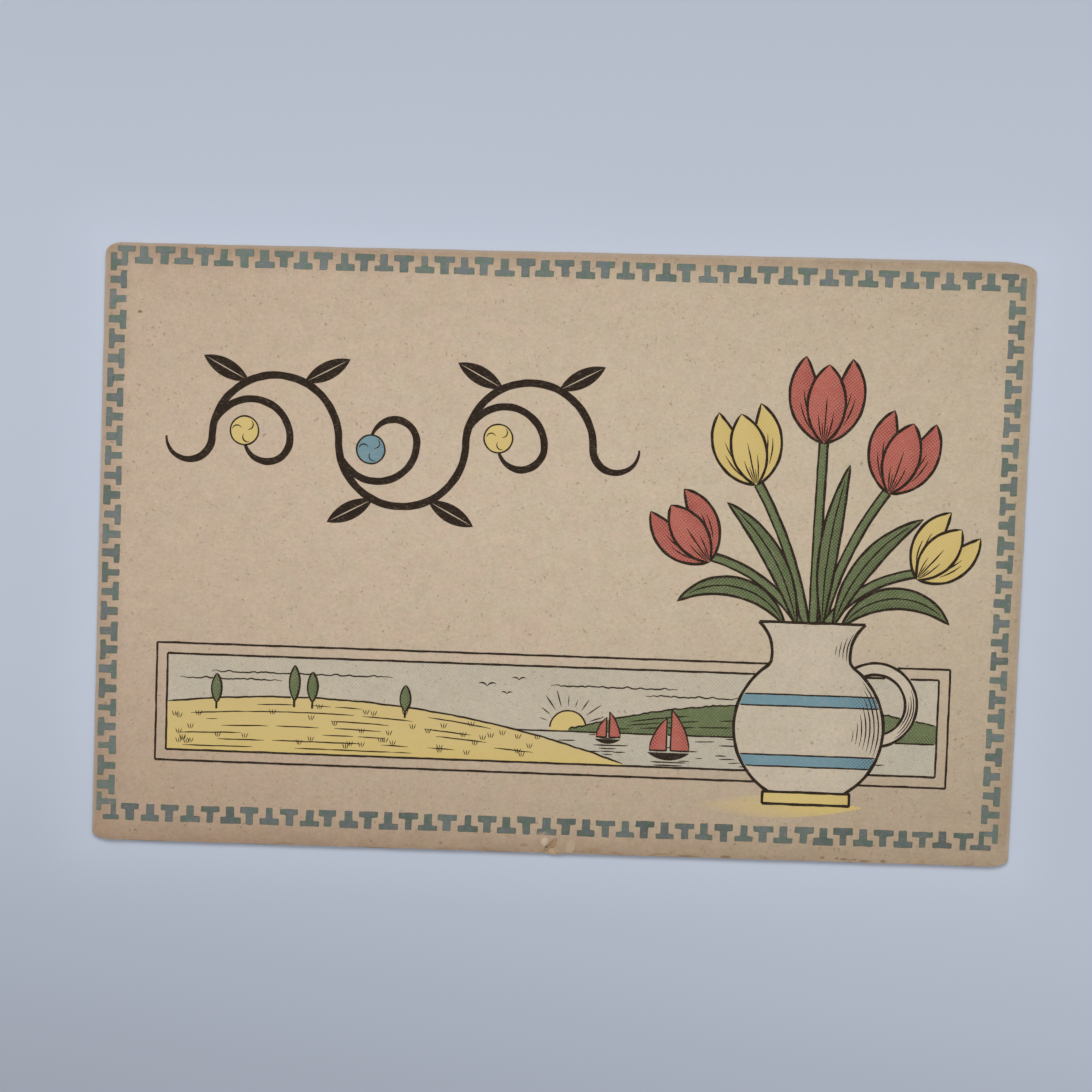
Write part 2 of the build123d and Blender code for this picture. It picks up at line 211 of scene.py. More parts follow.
paper = {
    "pink": seen(197.4, 176.6, 156.6),
    "green": seen(194.4, 179.2, 157),
    "pale": seen(210, 196, 173),
    "fleck": seen(138, 117, 96),
    "dirt": seen(140, 112, 86),
    "dust": seen(172, 163, 152),
    "yellowed": (1.0, 0.997, 0.95, 1.0),  # what each kind of ageing leaves of a colour, at its strongest; the darkening away from the middle also holds painted shade
    "tonedAndShaded": (0.776, 0.726, 0.696, 1.0),
    "browned": (0.69, 0.62, 0.575, 1.0),
    "toningAndFalloff": (117, 55, 8.5),  # partly ageing of the paper, partly painted fall-off of the light: half sizes of the field that fades outwards, and its middle's height
    "blotch": 9.0,  # sizes of the patterns
    "patch": (3.2, 2.4, 2.4),
    "yellowing": 1.9,
    "cloud": 2.4,
    "fibre": (0.75, 0.6, 0.6),
    "speckle": 0.34,
    "strand": (0.8, 0.26, 0.4),
    "fleckSize": (0.42, 0.5, 0.4),
    "fleckGroup": 2.4,
    "contrast": (0.20, 0.24, 0.22),  # of the clouds, fibres and speckles
    "strands": 0.3,  # strength of the strands, the flecks, the dusty rim and the dirt
    "flecks": 0.55,
    "dusty": 0.55,
    "dirty": 0.5,
    "reach": 5.0,  # how far in the browning shows
    "worn": (0.61, 0.15),  # its strength there and at the very edge
    "cleaner": 0.5,  # how much less of it the lower right margin has
    "topWear": 0.30,  # how much more the top edge has
}


# Distances of a point from the nearest short and long edge of the card, below 0 outside it
def edgeGaps(place):
    x, y, _ = place.split()
    sideways = card["length"] / 2 - abs(x - y * (card["lean"] / card["width"]))
    upright = card["width"] / 2 - abs(y)
    return sideways, upright


def edgeDistance(place):
    sideways, upright = edgeGaps(place)
    return sideways.least(upright)


# Old uncoated paper: pinkish and greenish blotches, pinker to the left, yellower patches, short pale
# and dark fibres, flecks, a tone that deepens away from the middle (partly ageing, partly painted
# fall-off of the light), edges that have browned and are dusty at the rim, and dirt along the lower one
def paperTone(place, base=None, ageingAndShade=1.0):
    x, y, _ = place.split()
    fromLow = y + card["width"] / 2
    fromTop = card["width"] / 2 - y
    blotch = place.noise(paper["blotch"], 1, 3.0, 0.6)
    cloud = place.noise(paper["cloud"], 2, 3.0, 0.6)
    fibre = place.noise(paper["fibre"], 3, 3.0, 0.6)
    speckle = place.noise(paper["speckle"], 4, 1.0)
    shade = 1
    for pattern, contrast in zip((cloud, fibre, speckle), paper["contrast"]):
        shade = shade + contrast * (pattern - 0.5)
    if base is None:
        patches = place.noise(paper["patch"], 10, 3.0, 0.65).rise(0.34, 0.66)
        pinker = (0.8 * blotch + 0.8 * patches - 0.3 - x * 0.008).clamped()
        tone = pinker.mix(paper["green"], paper["pink"])
    else:
        tone = blotch.rise(0.3, 0.7).mix(base[0], base[1])
    tone = tone.times(shade)
    yellower = place.noise(paper["yellowing"], 12, 3.0, 0.6).rise(0.3, 0.7)
    tone = yellower.mix(tone, paper["yellowed"], "MULTIPLY")
    strands = place.noise(paper["strand"], 5, 2.0).rise(0.60, 0.74)
    tone = (strands * paper["strands"]).mix(tone, paper["pale"])
    groups = place.noise(paper["fleckGroup"], 7, 1.0).rise(0.4, 0.62)
    flecks = place.noise(paper["fleckSize"], 6, 1.0).rise(0.63, 0.76) * groups
    tone = (flecks * paper["flecks"]).mix(tone, paper["fleck"])
    # painted shade mixed with ageing: the paper darkens away from the middle, partly with age and partly as
    # the light's painted fall-off
    reachX, reachY, middleY = paper["toningAndFalloff"]
    u = x / reachX
    v = (y - middleY) / reachY
    agedAndShaded = (u * u + v * v).clamped()
    tone = (agedAndShaded * ageingAndShade).mix(tone, paper["tonedAndShaded"], "MULTIPLY")
    edge = edgeDistance(place)
    ragged = edge + 1.5 * (cloud - 0.5) + 1.2 * (blotch - 0.5)
    broad, narrow = paper["worn"]
    worn = broad * ragged.rise(paper["reach"], 0.0) + narrow * ragged.rise(0.8, 0.0)
    cleaner = x.rise(0.0, 60.0) * fromLow.rise(6.0, 2.0)
    worn = worn * (0.93 + paper["topWear"] * fromTop.rise(3.0, 0.5) - paper["cleaner"] * cleaner)
    tone = (worn * ageingAndShade).mix(tone, paper["browned"], "MULTIPLY")
    dusty = paper["dusty"] * edge.rise(0.65, 0.05) * fromLow.rise(0.5, 3.0)
    tone = (dusty * ageingAndShade).mix(tone, paper["dust"])
    low = fromLow.rise(1.3, 0.2) * place.noise((1.5, 0.6, 0.6), 8, 2.0).rise(0.56, 0.70)
    return (low * paper["dirty"] * ageingAndShade).mix(tone, paper["dirt"])


rubs = {  # middle, half sizes, colour and strength of places that are rubbed or soiled
    "patch": ((3.0, -43.35), (0.7, 1.1), seen(190, 169, 140), 0.5),
    "cream": ((0.5, -44.1), (0.8, 0.45), seen(190, 166, 130), 0.5),
    "tan": ((0.55, -42.95), (0.45, 0.6), seen(164, 131, 98), 0.6),
    "scuff": ((-0.78, -42.72), (0.56, 0.66), seen(208, 192, 168), 0.55),
    "pit": ((-0.45, -43.56), (0.22, 0.22), seen(92, 72, 54), 0.7),
    "pit2": ((-0.4, -44.05), (0.2, 0.26), seen(112, 90, 68), 0.5),
    "pit3": ((3.6, -44.1), (0.24, 0.2), seen(118, 96, 74), 0.5),
    "stain": ((-3.86, -43.35), (0.75, 0.3), seen(132, 104, 76), 0.5),
    "soil": ((6.3, -43.8), (1.5, 0.42), seen(150, 122, 94), 0.45),
    "speck": ((-62.55, 34.35), (0.36, 0.24), seen(100, 86, 64), 0.8),
    "spot": ((-55.55, 37.15), (0.34, 0.3), seen(166, 140, 108), 0.5),
    "ink": ((-0.9, -41.75), (1.25, 0.5), None, 0.6),
}
edgeSpecks = (  # place and half length of the brown specks along the lower edge
    (20.15, -44.26, 1.5), (26.1, -44.2, 0.9), (40.42, -43.84, 0.36), (42.5, -43.92, 0.32),
    (43.5, -44.02, 0.55), (45.15, -43.99, 0.36), (46.6, -44.2, 0.9), (49.4, -44.15, 0.55),
)
edgeSpeck = {"height": 0.2, "colour": seen(112, 88, 66), "strength": 0.6}
for index, (x, y, half) in enumerate(edgeSpecks):
    rubs[f"edge{index}"] = ((x, y), (half, edgeSpeck["height"]), edgeSpeck["colour"], edgeSpeck["strength"])


# For each rubbed place 1 inside it and 0 outside, with a ragged soft rim, times its strength
def rubbed(place, names):
    if not names:
        return []
    x, y, _ = place.split()
    ragged = 1.1 * (place.noise(0.7, 9, 3.0) - 0.5)
    masks = []
    for name in names:
        (middleX, middleY), (halfX, halfY), _, strength = rubs[name]
        u = (x - middleX) / halfX
        v = (y - middleY) / halfY
        distance = (u * u + v * v) ** 0.5 + ragged
        masks.append(distance.rise(1.2, 0.5) * strength)
    return masks


# A finish of paper, on which the rubbed and soiled places may show
def paperFinish(name, base=None, ageingAndShade=1.0, worn=False):
    finish, shader, place = newFinish(name, 0.93, 0.18)
    tone = paperTone(place, base, ageingAndShade)
    soiled = [rub for rub in rubs if worn and rubs[rub][2]]
    for rub, mask in zip(soiled, rubbed(place, soiled)):
        tone = mask.mix(tone, rubs[rub][2])
    feed(shader, "Base Color", tone)
    grain(shader, place, 0.03, 0.35)
    return finish


# Ink on paper: its cover is uneven, and specks of bare paper show through
def inked(place, under, ink, cover, mottle, specks):
    patches = place.noise(0.9, 31, 3.0, 0.6)
    tooth = place.noise((0.5, 0.22, 0.3), 32, 2.0)
    amount = cover + mottle * (patches - 0.5) - specks * tooth.rise(0.56, 0.72)
    return amount.clamped().mix(under, ink)


stipple = {"pitch": 0.37, "turn": math.radians(41), "soft": 0.16, "largest": 0.48}


# Printer's dots on a turned square lattice; size is the dot's radius in steps of the lattice
def dots(place, size):
    x, y, _ = place.split()
    wobble = 0.16 * (place.noise(0.8, 41, 1.0) - 0.5)
    along = math.cos(stipple["turn"]) / stipple["pitch"]
    across = math.sin(stipple["turn"]) / stipple["pitch"]
    u = (x * along + y * across + wobble).fraction() - 0.5
    v = (y * along - x * across + wobble).fraction() - 0.5
    distance = (u * u + v * v) ** 0.5
    return ((size - distance) / stipple["soft"] + 0.5).clamped() * (size * 14 - 0.6).clamped()


# A colour ink with the key ink's dots over it; the mesh's shade says how dense they are
def colourFinish(name, light, deep, dotColour, cover=0.95, strength=0.85):
    finish, shader, place = newFinish(name, 0.82, 0.25)
    shade = place.attribute("shade")
    wash = place.noise(2.6, 51, 3.0, 0.6)
    colour = (wash * 0.9 + shade * 0.5 - 0.2).clamped().mix(light, deep)
    fade = place.attribute("fade")
    printed = inked(place, paperTone(place), colour, cover, 0.22, 0.2)
    mask = dots(place, stipple["largest"] * shade + 0.12 * (place.noise(1.4, 52, 2.0) - 0.5)) * strength
    printed = mask.mix(printed, dotColour)
    feed(shader, "Base Color", fade.mix(printed, paperTone(place)))
    grain(shader, place, 0.03, 0.3)
    return finish


keyColour = seen(46, 37, 29)
finishes = {
    "face": paperFinish("face paper", (seen(199, 181, 157), seen(194, 174, 149)), 0.95, True),
    "core": paperFinish("middle paper", (seen(200, 182, 156), seen(194, 175, 147)), 0.95, True),
    "back": paperFinish("back paper", (seen(190, 172, 146), seen(184, 164, 136))),
    "flap": paperFinish("lifted paper", (seen(178, 150, 117), seen(164, 133, 101)), 0.2),
    "buff": paperFinish("buff printed paper", worn=True),
    "red": colourFinish("red ink", seen(186, 102, 89), seen(172, 88, 77), seen(116, 60, 54)),
    "yellow": colourFinish("yellow ink", seen(209, 185, 119), seen(202, 178, 107), seen(188, 162, 96)),
    "green": colourFinish("green ink", seen(106, 119, 80), seen(93, 106, 69), seen(63, 71, 45)),
    "blue": colourFinish("blue ink", seen(110, 144, 155), seen(98, 132, 144), seen(64, 84, 92)),
}


def greyTintFinish():
    finish, shader, place = newFinish("grey tint", 0.9, 0.18)
    wash = place.attribute("wash")
    shade = place.attribute("shade")
    white = paperTone(place, (seen(194, 180, 161), seen(191, 178, 159)), 0.0)
    water = paperTone(place, (seen(189, 180, 164), seen(185, 177, 160)), 0.0)
    base = wash.mix(white, water)
    mask = dots(place, stipple["largest"] * shade + 0.10 * (place.noise(1.6, 52, 2.0) - 0.5))
    feed(shader, "Base Color", (mask * 0.62).mix(base, seen(160, 152, 136)))
    grain(shader, place, 0.03, 0.3)
    return finish


def tealFinish():
    finish, shader, place = newFinish("teal ink", 0.82, 0.25)
    load = place.attribute("load")
    rim = place.attribute("rim")
    wash = place.noise(1.3, 61, 3.0, 0.6)
    colour = wash.rise(0.35, 0.65).mix(seen(95, 112, 101), seen(108, 114, 116))
    colour = rim.rise(0.3, 1.0).mix(colour, seen(101, 107, 90))
    colour = colour.times(1.25 - 0.5 * load)
    bare = rubbed(place, ["ink"])[0] * place.noise(0.5, 62, 3.0).rise(0.3, 0.6)
    feed(shader, "Base Color", inked(place, paperTone(place), colour, 0.97 - bare, 0.25, 0.2))
    grain(shader, place, 0.03, 0.3)
    return finish


def keyFinish():
    finish, shader, place = newFinish("key ink", 0.8, 0.08)
    feed(shader, "Base Color", inked(place, paperTone(place), keyColour, 1.0, 0.12, 0.10))
    grain(shader, place, 0.02, 0.25)
    return finish


# the creases' dark colour is dirt and painted shade
finishes["crease"] = paperFinish("dirt and painted shade in the creases", (seen(118, 94, 72), seen(138, 112, 86)), 0.0)
finishes["grey"] = greyTintFinish()
finishes["teal"] = tealFinish()
finishes["key"] = keyFinish()
print("finishes:", len(finishes))


# Meshes

# Corners of the faces of a grid of points, as numbers of its points
def gridQuads(rows, columns):
    ids = np.arange(rows * columns).reshape(rows, columns)
    return np.stack([ids[:-1, :-1], ids[:-1, 1:], ids[1:, 1:], ids[1:, :-1]], -1).reshape(-1, 4)


def show(thing):
    bpy.context.scene.collection.objects.link(thing)


# Closed plates: a grid of points at the top, the same points at the foot and walls round the rim.
# Arrays end in (rows, columns); any axis before those counts separate plates. Marks are values at
# the points, kept as attributes.
def plates(x, y, top, low, marks=None):
    rows, columns = x.shape[-2:]
    x = x.reshape(-1, rows, columns)
    y = y.reshape(-1, rows, columns)
    across = (x[:, -1, -1] - x[:, 0, 0]) * (y[:, -1, 0] - y[:, 0, -1])
    across = across - (y[:, -1, -1] - y[:, 0, 0]) * (x[:, -1, 0] - x[:, 0, -1])
    turned = across.sum() < 0
    values = {"top": top, "low": low, **(marks or {})}
    values = {key: np.broadcast_to(value, x.shape) for key, value in values.items()}
    if turned:
        x = x[..., ::-1]
        y = y[..., ::-1]
        values = {key: value[..., ::-1] for key, value in values.items()}
    upper = np.stack([x, y, values.pop("top")], -1).reshape(len(x), -1, 3)
    lower = np.stack([x, y, values.pop("low")], -1).reshape(len(x), -1, 3)
    points = np.concatenate([upper, lower], 1)
    ids = np.arange(rows * columns).reshape(rows, columns)
    foot = rows * columns
    quads = gridQuads(rows, columns)
    rim = np.concatenate([ids[0], ids[1:, -1], ids[-1, -2::-1], ids[-2:0:-1, 0]])
    after = np.roll(rim, -1)
    walls = np.stack([rim + foot, after + foot, after, rim], -1)
    faces = np.concatenate([quads, quads[:, ::-1] + foot, walls])
    faces = faces + np.arange(len(x))[:, None, None] * 2 * foot
    marks = {key: np.tile(value.reshape(len(x), -1), 2).ravel() for key, value in values.items()}
    return {"points": points.reshape(-1, 3), "faces": faces.reshape(-1, 4), "marks": marks}


# One object from several sets of plates, riding on the card
def makePiece(name, parts, finish, replaced=()):
    starts = np.cumsum([0] + [len(part["points"]) for part in parts])
    points = np.concatenate([part["points"] for part in parts]) * mm
    faces = np.concatenate([part["faces"] + start for part, start in zip(parts, starts)])
    mesh = bpy.data.meshes.new(name)
    mesh.from_pydata(points.tolist(), [], faces.tolist())
    for key in parts[0]["marks"]:
        values = np.concatenate([part["marks"][key] for part in parts]).astype(np.float32)
        mesh.attributes.new(key, "FLOAT", "POINT").data.foreach_set("value", values)
    mesh.materials.append(finishes[finish])
    piece = bpy.data.objects.new(name, mesh)
    show(piece)
    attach(piece, "root")
    if replaced:
        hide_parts(*replaced)


# Smooth random curve: a sum of sines over a length, with waves from long to short
def ripple(t, longest, count, seed):
    draw = np.random.default_rng(seed)
    total = np.zeros_like(t)
    for wave in range(count):
        size = longest / 1.9 ** wave
        total += np.sin(2 * np.pi * (t / size + draw.random())) / 1.35 ** wave
    return total / 2.2


# Plies of the card

plies = {
    "stepIn": 0.10,  # steps between points near an edge, and away from it
    "stepOut": 3.0,
    "edgeBand": 0.9,
    "cornerBand": 5.2,
    "roughness": 0.045,  # how far a cut edge wanders
    "waves": {"lower": 17, "upper": 19, "short": 15, "count": 7},  # longest waves of that, and their number
    "edgeRound": 0.055,  # how far the face rolls over at its edge
    "rollReach": 0.22,
    "endReach": 0.6,  # how far in a short edge's wandering shows
    "bulge": (1.1, 1.2, 0.22),  # place, half width and reach of the bent lower edge
    "tear": {"left": -0.6, "right": 1.7, "peak": 0.15, "height": 2.0, "room": 0.8, "step": 0.08,
             "ragged": (0.16, 1.1)},
}


# Places along a side: close together by both ends, wider apart between
def spaced(low, high, extra=()):
    near = np.arange(0, plies["edgeBand"], plies["stepIn"])
    corner = np.linspace(plies["edgeBand"], plies["cornerBand"], 16)
    ends = np.concatenate([near, corner])
    count = int((high - low) / plies["stepOut"])
    inset = plies["cornerBand"] + plies["edgeBand"]
    middle = np.linspace(low + inset, high - inset, count)
    return np.unique(np.round(np.concatenate([low + ends, middle, high - ends, np.array(extra)]), 4))


# How far a worn round corner takes from the long edge, at a distance from the card's end
def cornerCut(distance, reach):
    inside = np.clip(1 - distance / reach[0], 0, 1)
    return reach[1] * (1 - np.sqrt(1 - inside ** 2))


# A ply over the whole card: columns run from the lower edge to the upper one, which bend in at the
# corners and at the tear; the edges wander a little and the face may roll over
def plyPlate(low, top, seed, inset=0.0, tear=None, rounding=0.0):
    halfLength = card["length"] / 2 - inset
    halfWidth = card["width"] / 2 - inset
    wear = card["wear"]
    torn = plies["tear"]
    mouth = np.arange(torn["left"] - torn["room"], torn["right"] + torn["room"], torn["step"])
    u = spaced(-halfLength, halfLength, mouth)
    v = spaced(-halfWidth, halfWidth) / halfWidth
    waves = plies["waves"]

    def wander(t, edge, seed):
        return plies["roughness"] * ripple(t, waves[edge], waves["count"], seed)

    lower = -halfWidth + cornerCut(u + halfLength, wear["lowLeft"])
    lower = lower + cornerCut(halfLength - u, wear["lowRight"]) + wander(u, "lower", seed)
    upper = halfWidth - cornerCut(u + halfLength, wear["topLeft"])
    upper = upper - cornerCut(halfLength - u, wear["topRight"]) + wander(u, "upper", seed + 1)
    place, half, reach = plies["bulge"]
    lower = lower - reach * np.exp(-((u - place) / half) ** 2)
    if tear:
        peak = torn["height"] + tear
        left = (u - torn["left"] + 0.5 * tear) / (torn["peak"] - torn["left"])
        right = (torn["right"] + 0.5 * tear - u) / (torn["right"] - torn["peak"])
        notch = peak * np.clip(np.minimum(np.minimum(left, right), 1), 0, 1)
        share, wave = torn["ragged"]
        lower = lower + notch * (1 + share * ripple(u, wave, 4, seed + 5))
    share = (v[:, None] + 1) / 2
    y = lower[None] + share * (upper - lower)[None]
    x = np.broadcast_to(u[None], y.shape).copy()
    fromEnd = halfLength - np.abs(x)
    x = x + wander(y, "short", seed + 2) * np.exp(-fromEnd / plies["endReach"]) * np.sign(x)
    edge = np.minimum(np.minimum(fromEnd, y - lower[None]), upper[None] - y)
    roll = rounding * np.exp(-np.clip(edge, 0, None) / plies["rollReach"])
    x = x + card["lean"] * y / card["width"]
    return plates(x, y, top - roll, low)


makePiece(
    "corePaper",
    [plyPlate(level("middle_ply", 0), level("middle_ply", 1), 11, inset=0.01)],
    "core", ["middle_ply"],
)
makePiece(
    "facePaper",
    [plyPlate(level("face_liner", 0), faceTop, 14, inset=0.03, tear=0.01, rounding=0.03)],
    "face", ["face_liner"],
)
makePiece(
    "buffTint",
    [plyPlate(level("buff_tint", 0), tintTop, 17, inset=0.05, tear=0.24, rounding=plies["edgeRound"])],
    "buff", ["buff_tint"],
)
makePiece(
    "backPaper",
    [plyPlate(level("back_liner", 0), level("back_liner", 1), 23, inset=0.02)],
    "back", ["back_liner"],
)
print("plies of the card made")

# Print place: the picture is a little off the card's middle and turned against it
printPlace = {"shiftX": -0.38, "shiftY": 0.81, "turn": math.radians(-0.43)}


def onCard(x, y):
    c = math.cos(printPlace["turn"])
    s = math.sin(printPlace["turn"])
    return printPlace["shiftX"] + c * x - s * y, printPlace["shiftY"] + s * x + c * y


# Border of interlocking T shapes

border = {
    "endMargin": 0.97,
    "sideMargin": 1.9,
    "lean": 0.67,  # the top row stands this far right of the lower one
    "depth": 2.58,
    # for the top, left, lower and right rows, as polynomials of the way along from -0.5 to 0.5: the depth
    # as drawn, and how far the row is set in and has slipped from an even spacing
    "depths": ((2.53,), (2.58, -0.20), (2.53,), (2.47, 0.22)),
    "setIn": ((0.13, 0.0, -0.40), (-0.01, -0.13, 0.62), (0.02,), (0.09, -0.11, 0.62)),
    "slip": ((-0.20,), (0.16,), (-0.34, -0.80, 1.65, 3.5), (0.03, -0.35, -0.54)),
    "pitch": 2.92,
    "bar": 2.84,
    "barDepth": 0.945,
    "stem": 1.115,
    "taper": 0.06,  # the bar's arms thin by this much from the stem to their ends
    "fillet": 0.12,  # ink gathers in the inner corners
    "runInset": 2.28,  # how far in the even run of T shapes starts and ends
    # the thinner stroke of each corner's T pair, and for the long row's T and the short row's one how
    # far in its stem stands and how long its arms to the corner and to the row are
    "corners": (
        (0.90, (2.15, 1.13, 1.50), (2.50, 1.44, 1.19)),  # top left
        (0.80, (2.76, 1.63, 0.84), (2.72, 1.39, 1.45)),  # low left
        (0.80, (2.58, 1.39, 1.55), (2.48, 1.39, 1.50)),  # low right
        (0.88, (2.49, 1.02, 1.46), (2.24, 1.57, 1.55)),  # top right
    ),
    "cornerSteadiness": 0.4,
    "round": 0.11,  # how the ink's spread rounds a corner
    "unsteady": 0.06,  # of the hand that drew it
    "load": (0.48, 0.55, 0.90, 0.55),  # ink on the top, left, lower and right rows
    "keystone": 0.00006,  # the rows draw together to the right
}
borderLength = card["length"] - 2 * border["endMargin"]
borderWidth = card["width"] - 2 * border["sideMargin"]


# T shapes from rows of half widths: the stem's end, the stem, the bar's lower edge and the bar.
# The foot is where the stem starts, and the bar's left and right arms may differ.
def teeShapes(depth, stroke, bar, foot, leftArm, rightArm, unsteady):
    count = len(unsteady)

    def shaky(size, share=1.0):
        return size + unsteady * share * rng.normal(size=count)

    r = border["round"]
    stem = shaky(stroke / 2, 0.8)
    barLow = shaky(depth - bar, 0.9)
    top = shaky(depth, 0.8)
    foot = shaky(foot)
    fillet = border["fillet"]
    armLow = barLow + border["taper"]
    heights = [foot, foot + r, barLow - fillet, barLow - 0.3 * fillet, barLow + 0.2 * fillet]
    heights += [armLow, armLow + r, top - r, top]
    halves = []
    for arm in (leftArm, rightArm):
        reach = shaky(arm, 1.2)
        low = [stem - 0.7 * r, stem, stem, stem + 0.3 * fillet, stem + fillet]
        halves.append(low + [reach - 0.5 * r, reach, shaky(0, 0.6) + reach, reach - 0.7 * r])
    left, right = (np.array(half).T[..., None] for half in halves)
    y = np.array(heights).T[..., None]
    slant = shaky(0)[:, None, None] * (y / depth[:, None, None] - 0.5)
    share = np.array([-1, -0.72, 0, 0.72, 1])
    x = slant + np.where(share < 0, left, right) * share
    y = y + 0.4 * unsteady[:, None, None] * rng.normal(size=x.shape)
    rim = np.maximum(np.abs(share) ** 3, np.array([1, 0.2, 0, 0, 0, 0.2, 0.2, 0.2, 1])[:, None])
    return x, y, np.broadcast_to(rim, x.shape)


# All T shapes of one side, pointing outwards and inwards in turn; the first and last one share a
# corner with the next side: the first one's stem runs to the far side of its neighbour's, the last
# one's stops inside it, and the arms by the corner are short
def borderSide(side):
    upright = side % 2
    sideLength = (borderLength, borderWidth)[upright]
    reach = (borderWidth, borderLength)[upright] / 2
    run = sideLength - 2 * border["runInset"]
    steps = 2 * round(run / (2 * border["pitch"]))
    k = np.arange(steps + 1)

    def atEnds(start, end, between):
        return np.where(k == 0, start, np.where(k == steps, end, between))

    way = k / steps - 0.5
    depth, setIn, slip = (np.polyval(border[key][side][::-1], way) for key in ("depths", "setIn", "slip"))
    corners = [border["corners"][side - end] for end in (0, 1)]
    strokes = [corner[0] for corner in corners]
    insets, outer, inner = zip(*[corner[1 + upright] for corner in corners])
    crossings = [(depth + setIn)[-end] - corners[end][2 - upright][0] for end in (0, 1)]
    arm = border["bar"] / 2
    x, y, rim = teeShapes(
        depth,
        atEnds(*strokes, border["stem"]),
        atEnds(*strokes, border["barDepth"]),
        atEnds(crossings[0] - strokes[0] / 2, crossings[1], 0.0),
        atEnds(outer[0], inner[1], arm),
        atEnds(inner[0], outer[1], arm),
        border["unsteady"] * atEnds(*[border["cornerSteadiness"]] * 2, 1.0),
    )
    flip = (1 - 2 * (k % 2))[:, None, None]
    place = run * way + slip + border["unsteady"] * rng.normal(size=steps + 1)
    place = atEnds(insets[0] - sideLength / 2, sideLength / 2 - insets[1], place)
    x = x * flip + place[:, None, None]
    middle = depth[:, None, None] / 2
    y = (y - middle) * flip + reach - middle - setIn[:, None, None]
    c = round(math.cos(side * math.pi / 2))
    s = round(math.sin(side * math.pi / 2))
    x, y = c * x - s * y, s * x + c * y
    x, y = onCard(x + border["lean"] * y / borderWidth, y * (1 - border["keystone"] * x))
    loads = np.clip(border["load"][side] + 0.13 * rng.normal(size=(steps + 1, 1, 1)), 0, 1.2)
    top = inkTop - np.where(k == steps, 0.4 * layerStep, 0)[:, None, None]
    return plates(x, y, top, inkLow, {"load": loads, "rim": rim})


borderParts = [borderSide(side) for side in range(4)]
makePiece("borderTees", borderParts, "teal", ["border_ink"])
print("border made")

# Picture: fills and pen lines in the print's own millimetres, nearest shapes first. A line is
# dropped where a nearer shape hides it.

pen = {
    "outline": 0.40,
    "fine": 0.23,
    "wobble": (0.03, 8),  # how far a line wanders, and over what length
    "swell": (0.16, 7),  # how much its width changes, and over what length
    "tip": 0.25,  # what is left of the width at a tapered end
    "step": 0.22,
    "blunt": 0.02,  # half width of a petal's tip
}
fills = {ink: [] for ink in ("yellow", "red", "green", "blue", "grey")}
lines = []
hiders = []


# Points on an arc between two points; a swell above 0 bulges to the right of the way
def arc(start, end, swell, count=25):
    start = np.array(start, float)
    end = np.array(end, float)
    chord = np.hypot(*(end - start))
    along = (end - start) / chord
    right = np.array([along[1], -along[0]])
    if abs(swell) < 1e-6 * chord:
        return start + np.linspace(0, 1, count)[:, None] * (end - start)
    radius = (chord ** 2 / 4 + swell ** 2) / (2 * abs(swell))
    half = 2 * math.atan2(2 * abs(swell), chord)
    angle = np.linspace(-half, half, count)
    ahead = chord / 2 + radius * np.sin(angle)
    aside = math.copysign(1, swell) * (radius * np.cos(angle) - radius + abs(swell))
    return start + ahead[:, None] * along + aside[:, None] * right


# Points round a centre between two angles in degrees
def circle(centre, radius, start, end, count):
    angle = np.radians(np.linspace(start, end, count))
    return np.stack([centre[0] + radius * np.cos(angle), centre[1] + radius * np.sin(angle)], -1)


# Which points lie in a closed outline, by counting the edges to their right
def inside(points, outline):
    x, y = points[:, :1], points[:, 1:]
    x0, y0 = outline[:, 0], outline[:, 1]
    x1, y1 = np.roll(x0, -1), np.roll(y0, -1)
    spans = (y0 > y) != (y1 > y)
    drop = np.where(y1 == y0, 1e-9, y1 - y0)
    return (spans & (x < x0 + (y - y0) / drop * (x1 - x0))).sum(1) % 2 == 1


# The same path with points a step apart
def evenly(path, step):
    length = np.concatenate([[0], np.cumsum(np.hypot(*np.diff(path, axis=0).T))])
    count = max(4, int(length[-1] / step) + 1)
    at = np.linspace(0, length[-1], count)
    return np.stack([np.interp(at, length, path[:, 0]), np.interp(at, length, path[:, 1])], -1)


# Points at the given places along and at one height
def atLevel(x, height):
    return np.stack([x, np.full_like(x, height)], -1)


# A strip of key ink from arrays of points across it; strips that cross lie at different heights, so
# that no two of them share a surface
def keyStrip(x, y):
    x, y = onCard(x, y)
    top = keyTop + 0.12 * layerStep * (len(lines) % 24)
    lines.append(plates(x, y, top, inkLow))


# A bold shape of key ink between two edges
def keyShape(first, second):
    keyStrip(*np.moveaxis(np.stack([first, second], 1), -1, 0))


# A pen line: a ribbon along a path, a little unsteady, whose width swells and thins, with tapered
# ends where it isn't closed
def penLine(path, width, taper=0.9, clip=None):
    path = evenly(np.asarray(path, float), pen["step"])
    shown = np.ones(len(path), bool)
    for outline in hiders:
        shown &= ~inside(path, outline)
    if clip is not None:
        shown &= inside(path, clip)
    t = np.arange(len(path)) * pen["step"]
    seed = rng.integers(1 << 30)
    tangent = np.gradient(path, axis=0)
    tangent = tangent / np.maximum(np.hypot(*tangent.T), 1e-9)[:, None]
    normal = np.stack([-tangent[:, 1], tangent[:, 0]], -1)
    wobble, wave = pen["wobble"]
    path = path + normal * (wobble * ripple(t, wave, 3, seed))[:, None]
    swell, wave = pen["swell"]
    uneven = swell * min(1, pen["outline"] / width)  # a bold stroke keeps its width better
    half = width / 2 * (1 + uneven * ripple(t, wave, 3, seed + 1))
    ends = np.minimum(t, t[-1] - t) / max(taper, 1e-3)
    half = half * np.clip(pen["tip"] + (1 - pen["tip"]) * ends, pen["tip"], 1) if taper else half
    breaks = np.flatnonzero(np.diff(shown.astype(int))) + 1
    for run in np.split(np.arange(len(path)), breaks):
        if len(run) < 3 or not shown[run[0]]:
            continue
        offsets = np.stack([-half[run], 0 * half[run], half[run]], -1)
        x = path[run, 0, None] + offsets * normal[run, 0, None]
        y = path[run, 1, None] + offsets * normal[run, 1, None]
        keyStrip(x, y)


